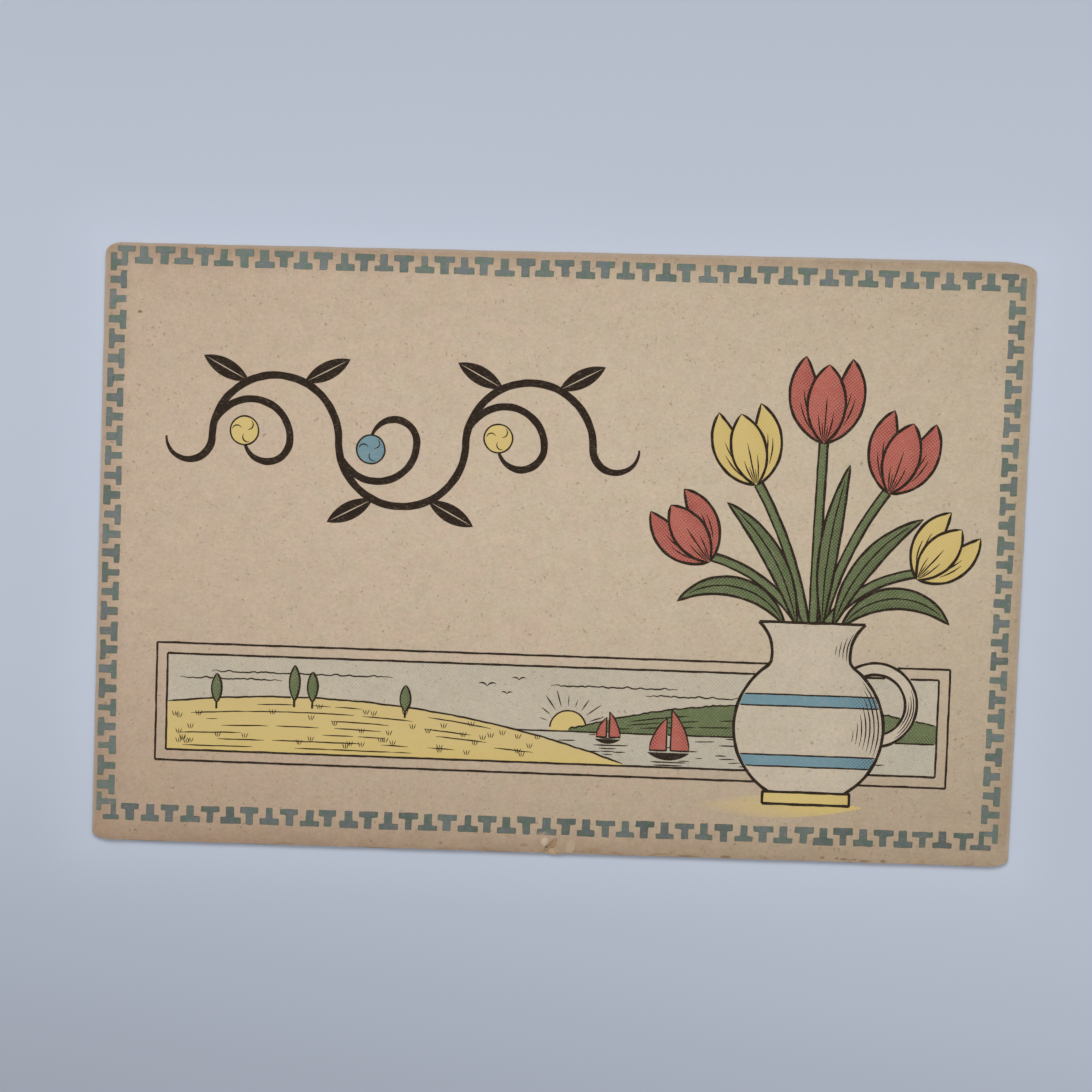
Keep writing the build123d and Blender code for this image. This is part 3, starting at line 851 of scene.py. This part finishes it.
# A filled shape: the surface between two edges that run the same way, with its dots' density as a
# function of the way along (0 to 1) and across (-1 to 1)
def fillBetween(ink, first, second, layer, shade, columns=9, hide=True, **marks):
    share = np.linspace(0, 1, columns)
    grid = first[:, None] + share[None, :, None] * (second - first)[:, None]
    along = np.linspace(0, 1, len(first))[:, None]
    across = 2 * share[None] - 1
    x, y = onCard(grid[..., 0], grid[..., 1])
    top = inkLow + lowestFilm + layer * layerStep
    density = np.clip(shade(along, across) + 0 * along * across, 0, 1)
    values = {"shade": density, "fade": 0.0, "wash": 0.0, **marks}
    values = {key: value + 0 * density for key, value in values.items()}
    fills[ink].append(plates(x, y, top, inkLow, values))
    if hide:
        hiders.append(np.concatenate([first, second[::-1]]))


# Density of the dots over a shape: even, and more of them to the right, to the left or by its start
def dense(even, right=0.0, left=0.0, start=0.0):
    def shade(along, across):
        aside = right * np.clip(across, 0, 1) + left * np.clip(-across, 0, 1)
        return even + aside + start * (1 - along)

    return shade


# A petal or leaf between two arcs from base to tip, blunt by a hair at both ends
def lens(base, tip, rightSwell, leftSwell, count=25):
    base = np.array(base, float)
    tip = np.array(tip, float)
    along = (tip - base) / np.hypot(*(tip - base))
    aside = pen["blunt"] * np.array([along[1], -along[0]])
    left = arc(base - aside, tip - aside, -leftSwell, count)
    right = arc(base + aside, tip + aside, rightSwell, count)
    return left, right


# A shape turned about its origin by degrees and put at a place
def moved(points, place, lean):
    c, s = math.cos(math.radians(lean)), math.sin(math.radians(lean))
    return np.array(place) + points @ np.array([[c, s], [-s, c]])


# Values for each of a row of strokes, from the first one's values and the step to the next
def stepped(count, first, step):
    return np.array(first) + np.arange(count)[:, None] * np.array(step)


fieldLength = borderLength - 2 * border["depth"]
fieldWidth = borderWidth - 2 * border["depth"]
panel = {
    "endGap": 5.95,
    "footGap": 6.6,
    "height": 17.6,
    "rule": 0.27,
    "ruleStep": 1.6,
    "sill": 0.25,  # from the inner rule's middle up to the foot of the view
    "lakeDepth": 4.6,
}
panelLength = fieldLength - 2 * panel["endGap"]
panelFoot = -fieldWidth / 2 + panel["footGap"]
leftEnd = -panelLength / 2
rightEnd = panelLength / 2
windowInset = panel["ruleStep"] + panel["rule"] / 2
windowLow = np.array([leftEnd + windowInset, panelFoot + windowInset])
windowHigh = np.array([rightEnd - windowInset, panelFoot + panel["height"] - windowInset])
windowFoot = panelFoot + panel["ruleStep"] + panel["sill"]
lakeLevel = windowFoot + panel["lakeDepth"]


def boxOutline(low, high):
    return np.array([low, (high[0], low[1]), high, (low[0], high[1])], float)


window = boxOutline(windowLow, windowHigh)

# Jug with its bands, foot and handle

jug = {
    "place": 20.5,
    "drop": 3.2,
    "height": 27.0,
    "foot": (6.4, 1.8),  # radius and height, as for the belly and the neck
    "waist": 5.6,
    "belly": (11.0, 10.8),
    "neck": (5.9, 20.8),
    "lip": 7.8,
    "flare": 0.9,
    "bands": (5.6, 14.6),
    "band": 1.7,
    "bandInset": 0.3,
    "handle": (6.4, 2.1, 15.2, 9.6),  # radius, width, height and reach
    "shadow": (27.0, 3.4),  # length and depth
    # pen strokes down the shadow side of the belly and of the neck: their number, the first one's foot,
    # top and inset, what these change by from one to the next, and the taper
    "strokes": (
        (7, (7.5, 18.5, 0.7), (0.35, -1.2, 0.62), 2.2),
        (4, (21.5, 25.6, 0.5), (0.3, -0.6, 0.55), 1.5),
    ),
    # the same round the handle, with radius inwards and the two end angles
    "handleStrokes": (3, (0.65, -58, 25), (0.38, 8, -9), 1.6),
}
jugAxis = rightEnd - jug["place"]
jugBase = panelFoot - jug["drop"]
jugMouth = jugBase + jug["height"]


# Points on the arc through three points, from the first to the last
def roundThrough(a, b, c, count):
    a, b, c = (np.array(p, float) for p in (a, b, c))
    system = 2 * np.array([b - a, c - a])
    centre = np.linalg.solve(system, [b @ b - a @ a, c @ c - a @ a])
    angle = [math.atan2(*(p - centre)[::-1]) for p in (a, c)]
    t = np.linspace(angle[0], angle[1], count)
    radius = np.hypot(*(a - centre))
    return centre + radius * np.stack([np.cos(t), np.sin(t)], -1)


wallLow = roundThrough((jug["waist"], jug["foot"][1]), jug["belly"], jug["neck"], 60)
wallHigh = arc(jug["neck"], (jug["lip"], jug["height"]), -jug["flare"], 20)[1:]
jugWall = np.concatenate([wallLow, wallHigh])


# Left and right edges of the jug between two heights
def jugEdges(low, high, inset, count=40):
    height = np.linspace(low, high, count)
    half = np.interp(height, jugWall[:, 1], jugWall[:, 0]) - inset
    left = np.stack([jugAxis - half, jugBase + height], -1)
    right = np.stack([jugAxis + half, jugBase + height], -1)
    return left, right


# A round body lit from the left: dots gather on the right and thinly by the left edge
def sideShade(along, across):
    dark = np.clip((across - 0.1) / 0.9, 0, 1) ** 1.4
    return 0.75 * dark + 0.25 * np.clip((-across - 0.75) / 0.25, 0, 1)


footRadius, footHeight = jug["foot"]
footLeft = np.array([(jugAxis - footRadius, jugBase), (jugAxis - footRadius, jugBase + footHeight)])
footRight = footLeft + np.array([2 * footRadius, 0])
footOutline = np.concatenate([footLeft, footRight[::-1], footLeft[:1]])
penLine(footOutline, pen["outline"], 0)
fillBetween("yellow", evenly(footLeft, 0.3), evenly(footRight, 0.3), 3, sideShade, 25)
for band in jug["bands"]:
    left, right = jugEdges(band, band + jug["band"], jug["bandInset"], 9)
    fillBetween("blue", left, right, 3, sideShade, 33, False)
    for edge in (0, -1):
        penLine([left[edge], right[edge]], pen["fine"], 0.3)
jugLeft, jugRight = jugEdges(footHeight, jug["height"], 0.0)
for edge in (jugLeft, jugRight):
    penLine(edge, pen["outline"] * 1.15, 0)
penLine([jugLeft[-1], jugRight[-1]], pen["outline"], 0)
for *row, taper in jug["strokes"]:
    for foot, top, inset in stepped(*row):
        penLine(jugEdges(foot, top, inset)[1], pen["fine"] * 0.8, taper)
fillBetween("grey", jugLeft, jugRight, 2, sideShade, 41)

# Tulips: blooms of one front petal between two side petals

bouquet = {
    "height": 39.0,
    "petal": (0.92, 0.22),  # height and swell of the front petal, in bloom heights
    "side": (0.27, 0.29, 0.06),  # spread, outer and inner swell of the side petals
    "stem": 1.25,
    "bow": 0.12,  # of a stem, as a share of its bloom's distance from the jug's middle
    "gather": 0.12,  # what is left of that distance at the jug's mouth
}
tulips = (  # place and size in bouquet heights, lean in degrees and colour
    ((-0.397, 0.218), 36, 0.282, "red"),
    ((0.385, 0.179), -40, 0.272, "yellow"),
    ((-0.231, 0.513), 14, 0.297, "yellow"),
    ((0.267, 0.497), -17, 0.303, "red"),
    ((0.015, 0.677), -2, 0.323, "red"),
)
leaves = (  # base, tip, right and left swell in bouquet heights
    ((-0.103, -0.015), (-0.513, 0.067), 0.138, -0.067),
    ((0.108, -0.015), (0.513, 0.010), -0.067, 0.144),
    ((-0.062, -0.015), (-0.338, 0.446), 0.087, -0.015),
    ((0.077, -0.015), (0.400, 0.405), -0.021, 0.092),
    ((0.036, -0.015), (0.118, 0.600), 0.010, 0.059),
)


def fromMouth(place):
    return np.array([jugAxis, jugMouth]) + np.array(place) * bouquet["height"]


def petal(ink, left, right, layer, shade, veins):
    penLine(left, pen["outline"])
    penLine(right, pen["outline"])
    for across, low, high in veins:
        share = (across + 1) / 2
        path = left + share * (right - left)
        count = len(path)
        penLine(path[int(low * count):int(high * count)], pen["fine"] * 0.9, 1.4)
    fillBetween(ink, left, right, layer, shade)


# A front petal's dots gather by its base and along its right side
def frontShade(along, across):
    return 0.34 * (1 - along) ** 1.6 + 0.4 * np.clip(across - 0.2, 0, 1) + 0.36


# place across a petal, start and end of each vein
frontVeins = (
    (0.0, 0.05, 0.62), (-0.42, 0.06, 0.42), (0.42, 0.06, 0.46), (0.2, 0.05, 0.3), (-0.2, 0.05, 0.34),
)
sideVeins = ((0.0, 0.2, 0.66), (0.35, 0.3, 0.62), (-0.35, 0.22, 0.55))
for place, lean, size, ink in tulips:
    size = size * bouquet["height"]
    tall, swell = bouquet["petal"]
    left, right = lens((0, 0), (0, tall * size), swell * size, swell * size)
    spot = fromMouth(place)
    petal(ink, moved(left, spot, lean), moved(right, spot, lean), 3, frontShade, frontVeins)
    spread, outer, inner = (size * share for share in bouquet["side"])
    for side in (-1, 1):
        swells = (outer, inner)[::side]
        left, right = lens((0, 0), (side * spread, size), *swells)
        shade = dense(0.50, *(0.3, 0.0)[::-side], start=0.2)
        petal(ink, moved(left, spot, lean), moved(right, spot, lean), 2 + 0.3 * side, shade, sideVeins)
for index, (base, tip, *swells) in enumerate(leaves):
    rightSwell, leftSwell = (swell * bouquet["height"] for swell in swells)
    left, right = lens(fromMouth(base), fromMouth(tip), rightSwell, leftSwell, 41)
    penLine(left, pen["outline"] * 0.9)
    penLine(right, pen["outline"] * 0.9)
    middle = (left + right) / 2
    penLine(middle[2:-4], pen["fine"], 2.5)
    fillBetween("green", left, right, 1 + 0.12 * index, dense(0.52, right=0.3, start=0.15))
for index, (place, lean, size, ink) in enumerate(tulips):
    aside = place[0] * bouquet["height"]
    foot = np.array([jugAxis + bouquet["gather"] * aside, jugMouth - 0.3])
    head = fromMouth(place) + moved(np.array([[0, bouquet["stem"]]]), (0, 0), lean)[0]
    along = (head - foot) / np.hypot(*(head - foot))
    normal = np.array([-along[1], along[0]]) * bouquet["stem"] / 2
    left = arc(foot + normal, head + normal, -bouquet["bow"] * aside, 41)
    right = arc(foot - normal, head - normal, -bouquet["bow"] * aside, 41)
    penLine(left, pen["fine"] * 1.2, 0)
    penLine(right, pen["outline"] * 0.9, 0)
    fillBetween("green", left, right, 0.12 * index, dense(0.45, right=0.4), 5)

# Handle behind the jug
radius, width, height, reach = jug["handle"]
hub = (jugAxis + reach, jugBase + height)
for r in (radius - pen["outline"] / 2, radius - width + pen["outline"] / 2):
    penLine(circle(hub, r, -170, 170, 90), pen["outline"])
outer = circle(hub, radius, -150, 150, 60)
inner = circle(hub, radius - width, -150, 150, 60)
*row, taper = jug["handleStrokes"]
for inwards, start, end in stepped(*row):
    penLine(circle(hub, radius - inwards, start, end, 30), pen["fine"] * 0.7, taper)
fillBetween("grey", inner, outer, 1.5, lambda a, c: 0.5 * np.clip(c, 0, 1) * np.clip(1.6 - 2 * a, 0, 1))
shadowLength, shadowDepth = jug["shadow"]
shadowEnd = np.array([jugAxis + footRadius + 2.0, jugBase - 0.2])
shadowTip = shadowEnd - np.array([shadowLength, 0.4])
left, right = lens(shadowEnd, shadowTip, shadowDepth / 2, shadowDepth / 2, 41)
fade = np.linspace(-0.3, 1.0, 41)[:, None] + 0.35 * np.linspace(-1, 1, 13)[None] ** 2
fade = np.clip(fade, 0, 1)
fillBetween("yellow", left, right, 0, lambda a, c: 0.55 * np.clip(1 - 1.5 * a, 0, 1), 13, False, fade=fade)
print("jug and tulips drawn:", len(lines), "pen lines")

# Landscape in the panel's window

landscape = {
    "near": (150.0, 8.2, 21.0),  # radius, rise and place of a hill's crest
    "far": (110.0, 9.4, 24.0),
    "reach": {"near": 71.0, "far": 62.0},  # how far a hill comes in from its end of the panel
    "seam": 0.03,  # what a hill stands clear of its foot by where it ends
    "furrows": (7, 5, 0.14, 0.13),  # rows, strokes in a row, the first row's place and the step to the next
    "tufts": (46, (-0.28, 0.0, 0.3)),  # number, and lean of each blade
    "ripples": (9, 6, 44.0),  # rows, number in a row and where they start
    "hollows": (3, 5, 0.25, 0.22),  # strokes on the far hill, as for the furrows
    "sun": (2.7, 5.0, 61.5),  # radius, rise and place
    "rays": 9,
    "birds": (((0.42, 0.62), 1.3), ((0.46, 0.68), 1.0), ((0.445, 0.56), 0.8)),  # place and size
    # height, start and end
    "clouds": ((0.60, 0.03, 0.16), (0.66, 0.07, 0.30), (0.58, 0.62, 0.74), (0.64, 0.50, 0.66)),
    "boats": ((0.651, 0.068, 1.0), (0.574, 0.182, 0.61)),  # place and size
    "boat": 6.2,
    "hull": (0.12, 0.18),  # height of the deck and depth under it, in boat lengths like the next two
    "sails": ((0.05, 0.5, 1.0), (-0.05, -0.46, 0.78)),  # mast, corner and height
    "belly": 0.09,  # of a sail
    "boom": 0.3,  # height over the deck
    "reflections": (4, 0.42, 0.07),  # strokes under it, the first half length and the change to the next
    "poplars": ((0.077, 0.398, 0.81), (0.176, 0.432, 1.0), (0.199, 0.426, 0.85), (0.317, 0.375, 0.74)),
    "poplar": (5.4, 0.75),  # height and swell
}


def inPanel(along, rise):
    return np.array([leftEnd + along * panelLength, windowFoot + rise * panel["height"]])


# Height of a round hill over the window's foot
def crest(hill, x, fromRight=False):
    radius, rise, place = landscape[hill]
    middle = rightEnd - place if fromRight else leftEnd + place
    return windowFoot + rise - radius + np.sqrt(radius ** 2 - (x - middle) ** 2)


for along, rise, size in landscape["boats"]:
    size = size * landscape["boat"]
    spot = inPanel(along, rise)
    deckHeight, hullDepth = (share * size for share in landscape["hull"])
    deck = spot[1] + deckHeight
    hullTop = atLevel(np.linspace(spot[0] - size / 2, spot[0] + size / 2, 15), deck)
    edge = hullTop - (0, pen["blunt"])
    hullLow = arc(edge[0], edge[-1], hullDepth, 15)
    keyShape(hullLow, hullTop)
    hiders.append(np.concatenate([hullTop, hullLow[::-1]]))
    for mast, clew, tall in landscape["sails"]:
        foot = np.array([spot[0] + mast * size, deck + landscape["boom"]])
        top = foot + (0, tall * size)
        corner = np.array([spot[0] + clew * size, foot[1]])
        leech = arc(corner, top, landscape["belly"] * size * np.sign(clew), 15)
        luff = foot + np.linspace(0, 1, 15)[:, None] * (top + (0.03 * np.sign(clew), 0) - foot)
        penLine(leech, pen["fine"])
        penLine(luff, pen["fine"], 0)
        penLine([foot, corner], pen["fine"], 0)
        fillBetween("red", luff, leech, 3, dense(0.45, right=0.3), 5)
    strokeCount, longest, shorter = landscape["reflections"]
    for k in range(strokeCount):  # broken reflection under the hull
        reach = size * (longest - shorter * k)
        y = deck - 0.2 * size - 0.45 * (k + 0.4)
        penLine([(spot[0] - reach, y), (spot[0] + reach, y)], pen["fine"] * 0.8, 0.8, window)
for along, rise, size in landscape["poplars"]:
    foot = inPanel(along, rise)
    tall, swell = landscape["poplar"]
    left, right = lens(foot, foot + (0, size * tall), swell, swell, 21)
    penLine(left, pen["fine"], 0.3)
    penLine(right, pen["fine"] * 1.3, 0.3)
    penLine([foot - (0, 0.9), foot + (0, 0.2)], pen["fine"] * 1.4, 0)
    fillBetween("green", left, right, 3, dense(0.5, right=0.35), 7)

x = np.linspace(windowLow[0], leftEnd + landscape["reach"]["near"], 120)
lowest = windowLow[1] + landscape["seam"]
ridge = np.clip(crest("near", x), lowest, windowHigh[1])
keep = crest("near", x) > lowest
nearTop = np.stack([x, ridge], -1)[keep]
nearLow = atLevel(x, windowLow[1])[keep]
penLine(nearTop + 0.05 * ripple(x[keep], 7, 4, 71)[:, None], pen["fine"] * 1.1, 1.0, window)
rows, inRow, firstRow, rowStep = landscape["furrows"]
for row in range(rows):  # furrows and tufts follow the slope
    share = firstRow + rowStep * row
    ends = np.sort(rng.uniform(0.02, 0.92, (inRow, 2)), 1)
    for start, end in ends:
        stop = min(end, start + rng.uniform(0.05, 0.16))
        pick = slice(int(start * len(nearTop)), int(stop * len(nearTop)))
        path = nearTop[pick] + share * (nearLow[pick] - nearTop[pick])
        if len(path) > 3:
            penLine(path, pen["fine"] * 0.75, 1.5, window)
tufts, blades = landscape["tufts"]
for tuft in rng.uniform((0.02, 0.12), (0.86, 0.9), (tufts, 2)):
    at = int(tuft[0] * len(nearTop))
    spot = nearTop[at] + tuft[1] * (nearLow[at] - nearTop[at])
    for lean in blades:
        penLine([spot + (lean * 0.6, 0), spot + (lean * 1.6, 0.75)], pen["fine"] * 0.75, 0.4, window)


# The near hill's dots gather at its foot and thinly along its crest
def hillShade(along, across):
    return 0.4 * np.clip(-across - 0.1, 0, 1) + 0.1 * np.clip(across, 0, 1) + 0 * along


fade = 0.06 + 0.10 * np.linspace(-1, 1, 7)[None]
fillBetween("yellow", nearLow, nearTop, 2, hillShade, 7, fade=fade)

# Lake and its ripples, the shore, the far hill and the sun
shore = [(windowLow[0], lakeLevel), (windowHigh[0], lakeLevel)]
penLine(shore, pen["fine"], 0, window)
rows, inRow, firstRipple = landscape["ripples"]
for y in np.linspace(windowLow[1] + 0.35, lakeLevel - 0.35, rows):
    for start in rng.uniform(leftEnd + firstRipple, windowHigh[0] - 6, inRow):
        reach = rng.uniform(1.0, 3.2)
        penLine([(start, y), (start + reach, y + 0.05)], pen["fine"] * 0.7, 0.7, window)
lakeTop = atLevel(np.linspace(windowLow[0], windowHigh[0], 60), lakeLevel)
lakeLow = atLevel(lakeTop[:, 0], windowLow[1])
fillBetween("grey", lakeLow, lakeTop, -0.5, dense(0.5, left=0.15), 7, True, wash=1.0)
x = np.linspace(rightEnd - landscape["reach"]["far"], windowHigh[0], 120)
keep = crest("far", x, True) > lakeLevel + landscape["seam"]
farTop = np.stack([x, crest("far", x, True)], -1)[keep]
farLow = atLevel(x, lakeLevel)[keep]
bushes = farTop + np.stack([0 * x[keep], 0.16 + 0.22 * np.abs(ripple(x[keep], 2.6, 4, 73))], -1)
penLine(bushes, pen["fine"], 0.5, window)
rows, inRow, firstRow, rowStep = landscape["hollows"]
for row in range(rows):
    path = farTop + (firstRow + rowStep * row) * (farLow - farTop)
    for start in rng.uniform(0.05, 0.85, inRow):
        pick = slice(int(start * len(path)), int((start + 0.1) * len(path)))
        penLine(path[pick], pen["fine"] * 0.75, 1.2, window)
fillBetween("green", farLow, bushes, 0.5, dense(0.45, left=0.2), 7)
radius, rise, place = landscape["sun"]
sunSpot = np.array([leftEnd + place, windowFoot + rise])
sunArc = circle(sunSpot, radius, 176, 4, 41)
penLine(sunArc, pen["fine"], 0, window)
fillBetween("yellow", atLevel(sunArc[:, 0], lakeLevel), sunArc, 0, dense(0.08), 7)
for ray in np.linspace(20, 160, landscape["rays"]):
    start = circle(sunSpot, radius + 0.7, ray, ray, 1)[0]
    end = circle(sunSpot, radius + 2.6 + 0.8 * math.cos(ray), ray, ray, 1)[0]
    penLine([start, end], pen["fine"] * 0.75, 0.8, window)
for spot, size in landscape["birds"]:
    middle = inPanel(*spot)
    for side in (-1, 1):
        wing = arc(middle, middle + (side * size, 0.32 * size), -side * 0.22 * size, 9)
        penLine(wing, pen["fine"], 0.6, window)
for low, start, end in landscape["clouds"]:
    first, last = inPanel(start, low), inPanel(end, low)
    path = np.linspace(first, last, 60)
    path[:, 1] += 0.28 * np.abs(ripple(path[:, 0], 5.2, 3, int(1000 * low)))
    penLine(path, pen["fine"] * 0.8, 2.5, window)
skyTop = atLevel(lakeTop[:, 0], windowHigh[1])
fillBetween("grey", lakeTop, skyTop, -1, lambda a, c: 0.44 + 0.14 * c, 9, False, wash=0.5)

# Panel rules
for inset in (0, panel["ruleStep"]):
    low = np.array([leftEnd + inset, panelFoot + inset])
    high = np.array([rightEnd - inset, panelFoot + panel["height"] - inset])
    corners = boxOutline(low, high)
    for k in range(4):
        penLine([corners[k], corners[(k + 1) % 4]], panel["rule"] * 1.1, 0)

# Running scroll: half circles up and down in turn, each with a branch that curls to a bud

scroll = {
    "waves": 3,
    "radius": 9.4,
    "endGap": 6.6,
    "topGap": 25.0,
    "stroke": 1.1,
    "turn": 5.8,
    "curl": 3.4,
    "bud": (2.1, 1.1),  # radius and lift
    "leaf": (7.6, 1.3, 26, 62),  # length, swell, place and lean in degrees
    "vein": 0.09,  # half width of the bare vein in a leaf
    "buds": ("yellow", "blue"),  # colours, in turn
}
scrollLeft = -fieldLength / 2 + scroll["endGap"] + 2 * scroll["curl"]
scrollLevel = fieldWidth / 2 - scroll["topGap"]
waveMiddles = scrollLeft + scroll["radius"] * (2 * np.arange(scroll["waves"]) + 1)
scrollRight = scrollLeft + 2 * scroll["radius"] * scroll["waves"]
strokes = []
mainPath = [circle((scrollLeft - scroll["curl"], scrollLevel), scroll["curl"], 180, 360, 30)]
for wave, middle in enumerate(waveMiddles):
    up = 1 - 2 * (wave % 2)
    mainPath.append(circle((middle, scrollLevel), scroll["radius"], 180, 180 - 180 * up, 60)[1:])
    turnMiddle = middle - scroll["radius"] + scroll["turn"]
    curlMiddle = middle - scroll["radius"] + 2 * scroll["turn"] - scroll["curl"]
    branch = np.concatenate([
        circle((turnMiddle, scrollLevel), scroll["turn"], 180, 180 - 180 * up, 40),
        circle((curlMiddle, scrollLevel), scroll["curl"], 0, -180 * up, 30)[1:],
    ])
    strokes.append((branch, 0.95 * scroll["stroke"], 5.0))
    budRadius, budLift = scroll["bud"]
    bud = (curlMiddle - scroll["curl"], scrollLevel + up * budLift)
    ring = circle(bud, budRadius, 0, 360, 60)
    penLine(ring, pen["fine"], 0)
    for start in (20, 140, 260):
        a = circle(bud, 0.25 * budRadius, start, start, 1)[0]
        b = circle(bud, 0.85 * budRadius, start + 35, start + 35, 1)[0]
        penLine(arc(a, b, 0.25 * budRadius, 12), pen["fine"] * 0.8, 0.6)
    half = circle(bud, budRadius, 180, 0, 31)
    low = circle(bud, budRadius, 180, 360, 31)
    half[0] += (0, 0.01)
    half[-1] += (0, 0.01)
    fillBetween(scroll["buds"][wave % 2], low, half, 3, lambda a, c: 0.45 * np.clip(a - 0.45, 0, 1) * 2)
    length, swell, rootAngle, lean = scroll["leaf"]
    for side in (-1, 1):
        root = moved(np.array([[0, scroll["radius"]]]), (0, 0), -side * rootAngle)[0]
        tip = root + moved(np.array([[0, length]]), (0, 0), -side * lean)[0]
        base, point = [np.array([middle + p[0], scrollLevel + up * p[1]]) for p in (root, tip)]
        left, right = lens(base, point, swell, swell, 25)
        spine = (left + right) / 2
        thin = np.sin(np.pi * np.linspace(0, 1, 25))[:, None] * scroll["vein"]
        for edge in (left, right):
            way = (edge - spine) / np.maximum(np.hypot(*(edge - spine).T), 1e-6)[:, None]
            keyShape(spine + thin * way, edge)
mainPath.append(circle((scrollRight + scroll["curl"], scrollLevel), scroll["curl"], 180, 360, 30)[1:])
strokes.append((np.concatenate(mainPath), scroll["stroke"], 7.0))
for path, width, taper in strokes:
    penLine(path, width, taper)
print("picture drawn:", len(lines), "pen lines")

makePiece("keyLines", lines, "key", ["key_ink"])
for ink, parts in fills.items():
    slotName = "grey_tint" if ink == "grey" else f"{ink}_ink"
    makePiece(f"{ink}Fills", parts, ink, [slotName])

# Torn lower edge: a lifted flap and the creases round it, dark with dirt and painted shade

tornEdge = {
    "hinge": (0.98, -43.5),
    "edge": ((-0.1, -43.43), (1.0, -42.1)),  # the flap's raised edge
    "gap": 0.05,  # under the flap, to which the lift is added at its raised edge
    "lift": 0.10,
    "thickness": 0.06,
    "creases": (
        ((-1.36, -42.38), (-1.4, -42.75), (-1.3, -43.12)),
        ((1.0, -42.1), (0.4, -42.85), (-0.38, -43.5)),
        ((-0.44, -43.65), (-0.36, -44.0), (-0.4, -44.3)),
    ),
    "crease": 0.08,  # width
}
# Flap: straight lines from its hinge to its raised edge, higher the further out
hinge = np.array(tornEdge["hinge"])
start, end = (np.array(p) for p in tornEdge["edge"])
out = np.linspace(0.03, 1, 9)[:, None, None]
raised = start + np.linspace(0, 1, 11)[None, :, None] * (end - start)
grid = hinge + out * (raised - hinge)
grid = grid + 0.05 * out * ripple(np.linspace(0, 2, 11), 0.7, 3, 77)[None, :, None]
x, y = grid[..., 0], grid[..., 1]
flapLow = level("face_liner", 0) + tornEdge["gap"] + tornEdge["lift"] * out[..., 0] ** 2 + 0 * x
makePiece("tornFlap", [plates(x, y, flapLow + tornEdge["thickness"], flapLow)], "flap")
shownLines = len(lines)
# crease strokes, dark with dirt and painted shade
for path in tornEdge["creases"]:
    penLine(np.array(path) - (printPlace["shiftX"], printPlace["shiftY"]), tornEdge["crease"], 0.7)
makePiece("tearCreases", lines[shownLines:], "crease")
print("torn edge made")

# Print on the back of the card
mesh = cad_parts["back_print"].data
mesh.materials.clear()
mesh.materials.append(finishes["key"])

# Table, light and camera

table = {
    "size": 1.6,
    "points": 9,  # along each side
    "colours": (seen(186, 193, 208), seen(184, 192, 206)),
    "drop": 0.02,  # under the card, so that no faces meet
    "far": (0.34, 20.0, 175.0),  # painted shade: how much it darkens towards the far end, from where and to where
    "near": (0.27, -28.0, -115.0),  # the same painted shade towards the near end
    "shadeSkew": 0.18,  # the painted shade at the near end is darker to the left
    "paintedGlow": (0.08, 10.5, 1.6),  # painted light, lighter by the card: how much, how far and how steeply that fades
}


# A pale floor whose colour has painted shade, darker a little towards both ends, and painted light round
# the card
def tableFinish():
    finish, shader, place = newFinish("table", 0.9, 0.1)
    x, y, _ = place.split()
    paintedLight = 1
    # painted shade: the floor's colour darkens towards its far and near ends
    for way, (amount, start, end) in ((y, table["far"]), (y + table["shadeSkew"] * x, table["near"])):
        paintedLight = paintedLight - amount * way.rise(start, end)
    sideways, upright = (gap.least(0.0) for gap in edgeGaps(place))
    away = (sideways * sideways + upright * upright) ** 0.5
    # painted light: the floor's colour is lighter round the card
    paintedGlow, reach, fade = table["paintedGlow"]
    paintedLight = paintedLight + paintedGlow * (1 - away / reach).clamped() ** fade
    colour = place.noise(60.0, 81, 2.0).mix(*table["colours"])
    feed(shader, "Base Color", colour.times(paintedLight))
    return finish


half = table["size"] / 2
x, y = np.meshgrid(*[np.linspace(-half, half, table["points"])] * 2)
height = np.full_like(x, cadLow.z - table["drop"] * mm)
mesh = bpy.data.meshes.new("tableTop")
points = np.stack([x, y, height], -1).reshape(-1, 3)
mesh.from_pydata(points.tolist(), [], gridQuads(*x.shape).tolist())
mesh.materials.append(tableFinish())
floor = bpy.data.objects.new("tableTop", mesh)
show(floor)

light = {"place": (0.0, 0.80, 0.55), "length": 0.8, "depth": 0.4, "power": 6.0, "sky": 0.47}
lamp = bpy.data.lights.new("softBox", "AREA")
lamp.shape = "RECTANGLE"
lamp.size = light["length"]
lamp.size_y = light["depth"]
lamp.energy = light["power"]
softBox = bpy.data.objects.new("softBox", lamp)
softBox.location = light["place"]
toCard = -softBox.location
softBox.rotation_euler = toCard.to_track_quat("-Z", "Y").to_euler()
show(softBox)
world = bpy.data.worlds.new("studio")
world.use_nodes = True
sky = world.node_tree.nodes["Background"]
sky.inputs["Color"].default_value = (1, 1, 1, 1)
sky.inputs["Strength"].default_value = light["sky"]
bpy.context.scene.world = world

view = {"place": (4.63, 13.23, 251.0), "turn": (-2.689, 1.526, 1.449), "lens": 56.04, "sensor": 36}
camera = bpy.data.cameras.new("camera")
camera.lens = view["lens"]
camera.sensor_width = view["sensor"]
camera.clip_start = 0.01
eye = bpy.data.objects.new("camera", camera)
eye.location = [one * mm for one in view["place"]]
eye.rotation_euler = [math.radians(one) for one in view["turn"]]
show(eye)
bpy.context.scene.camera = eye
bpy.context.scene.view_settings.view_transform = "Standard"
print("table, light and camera set")
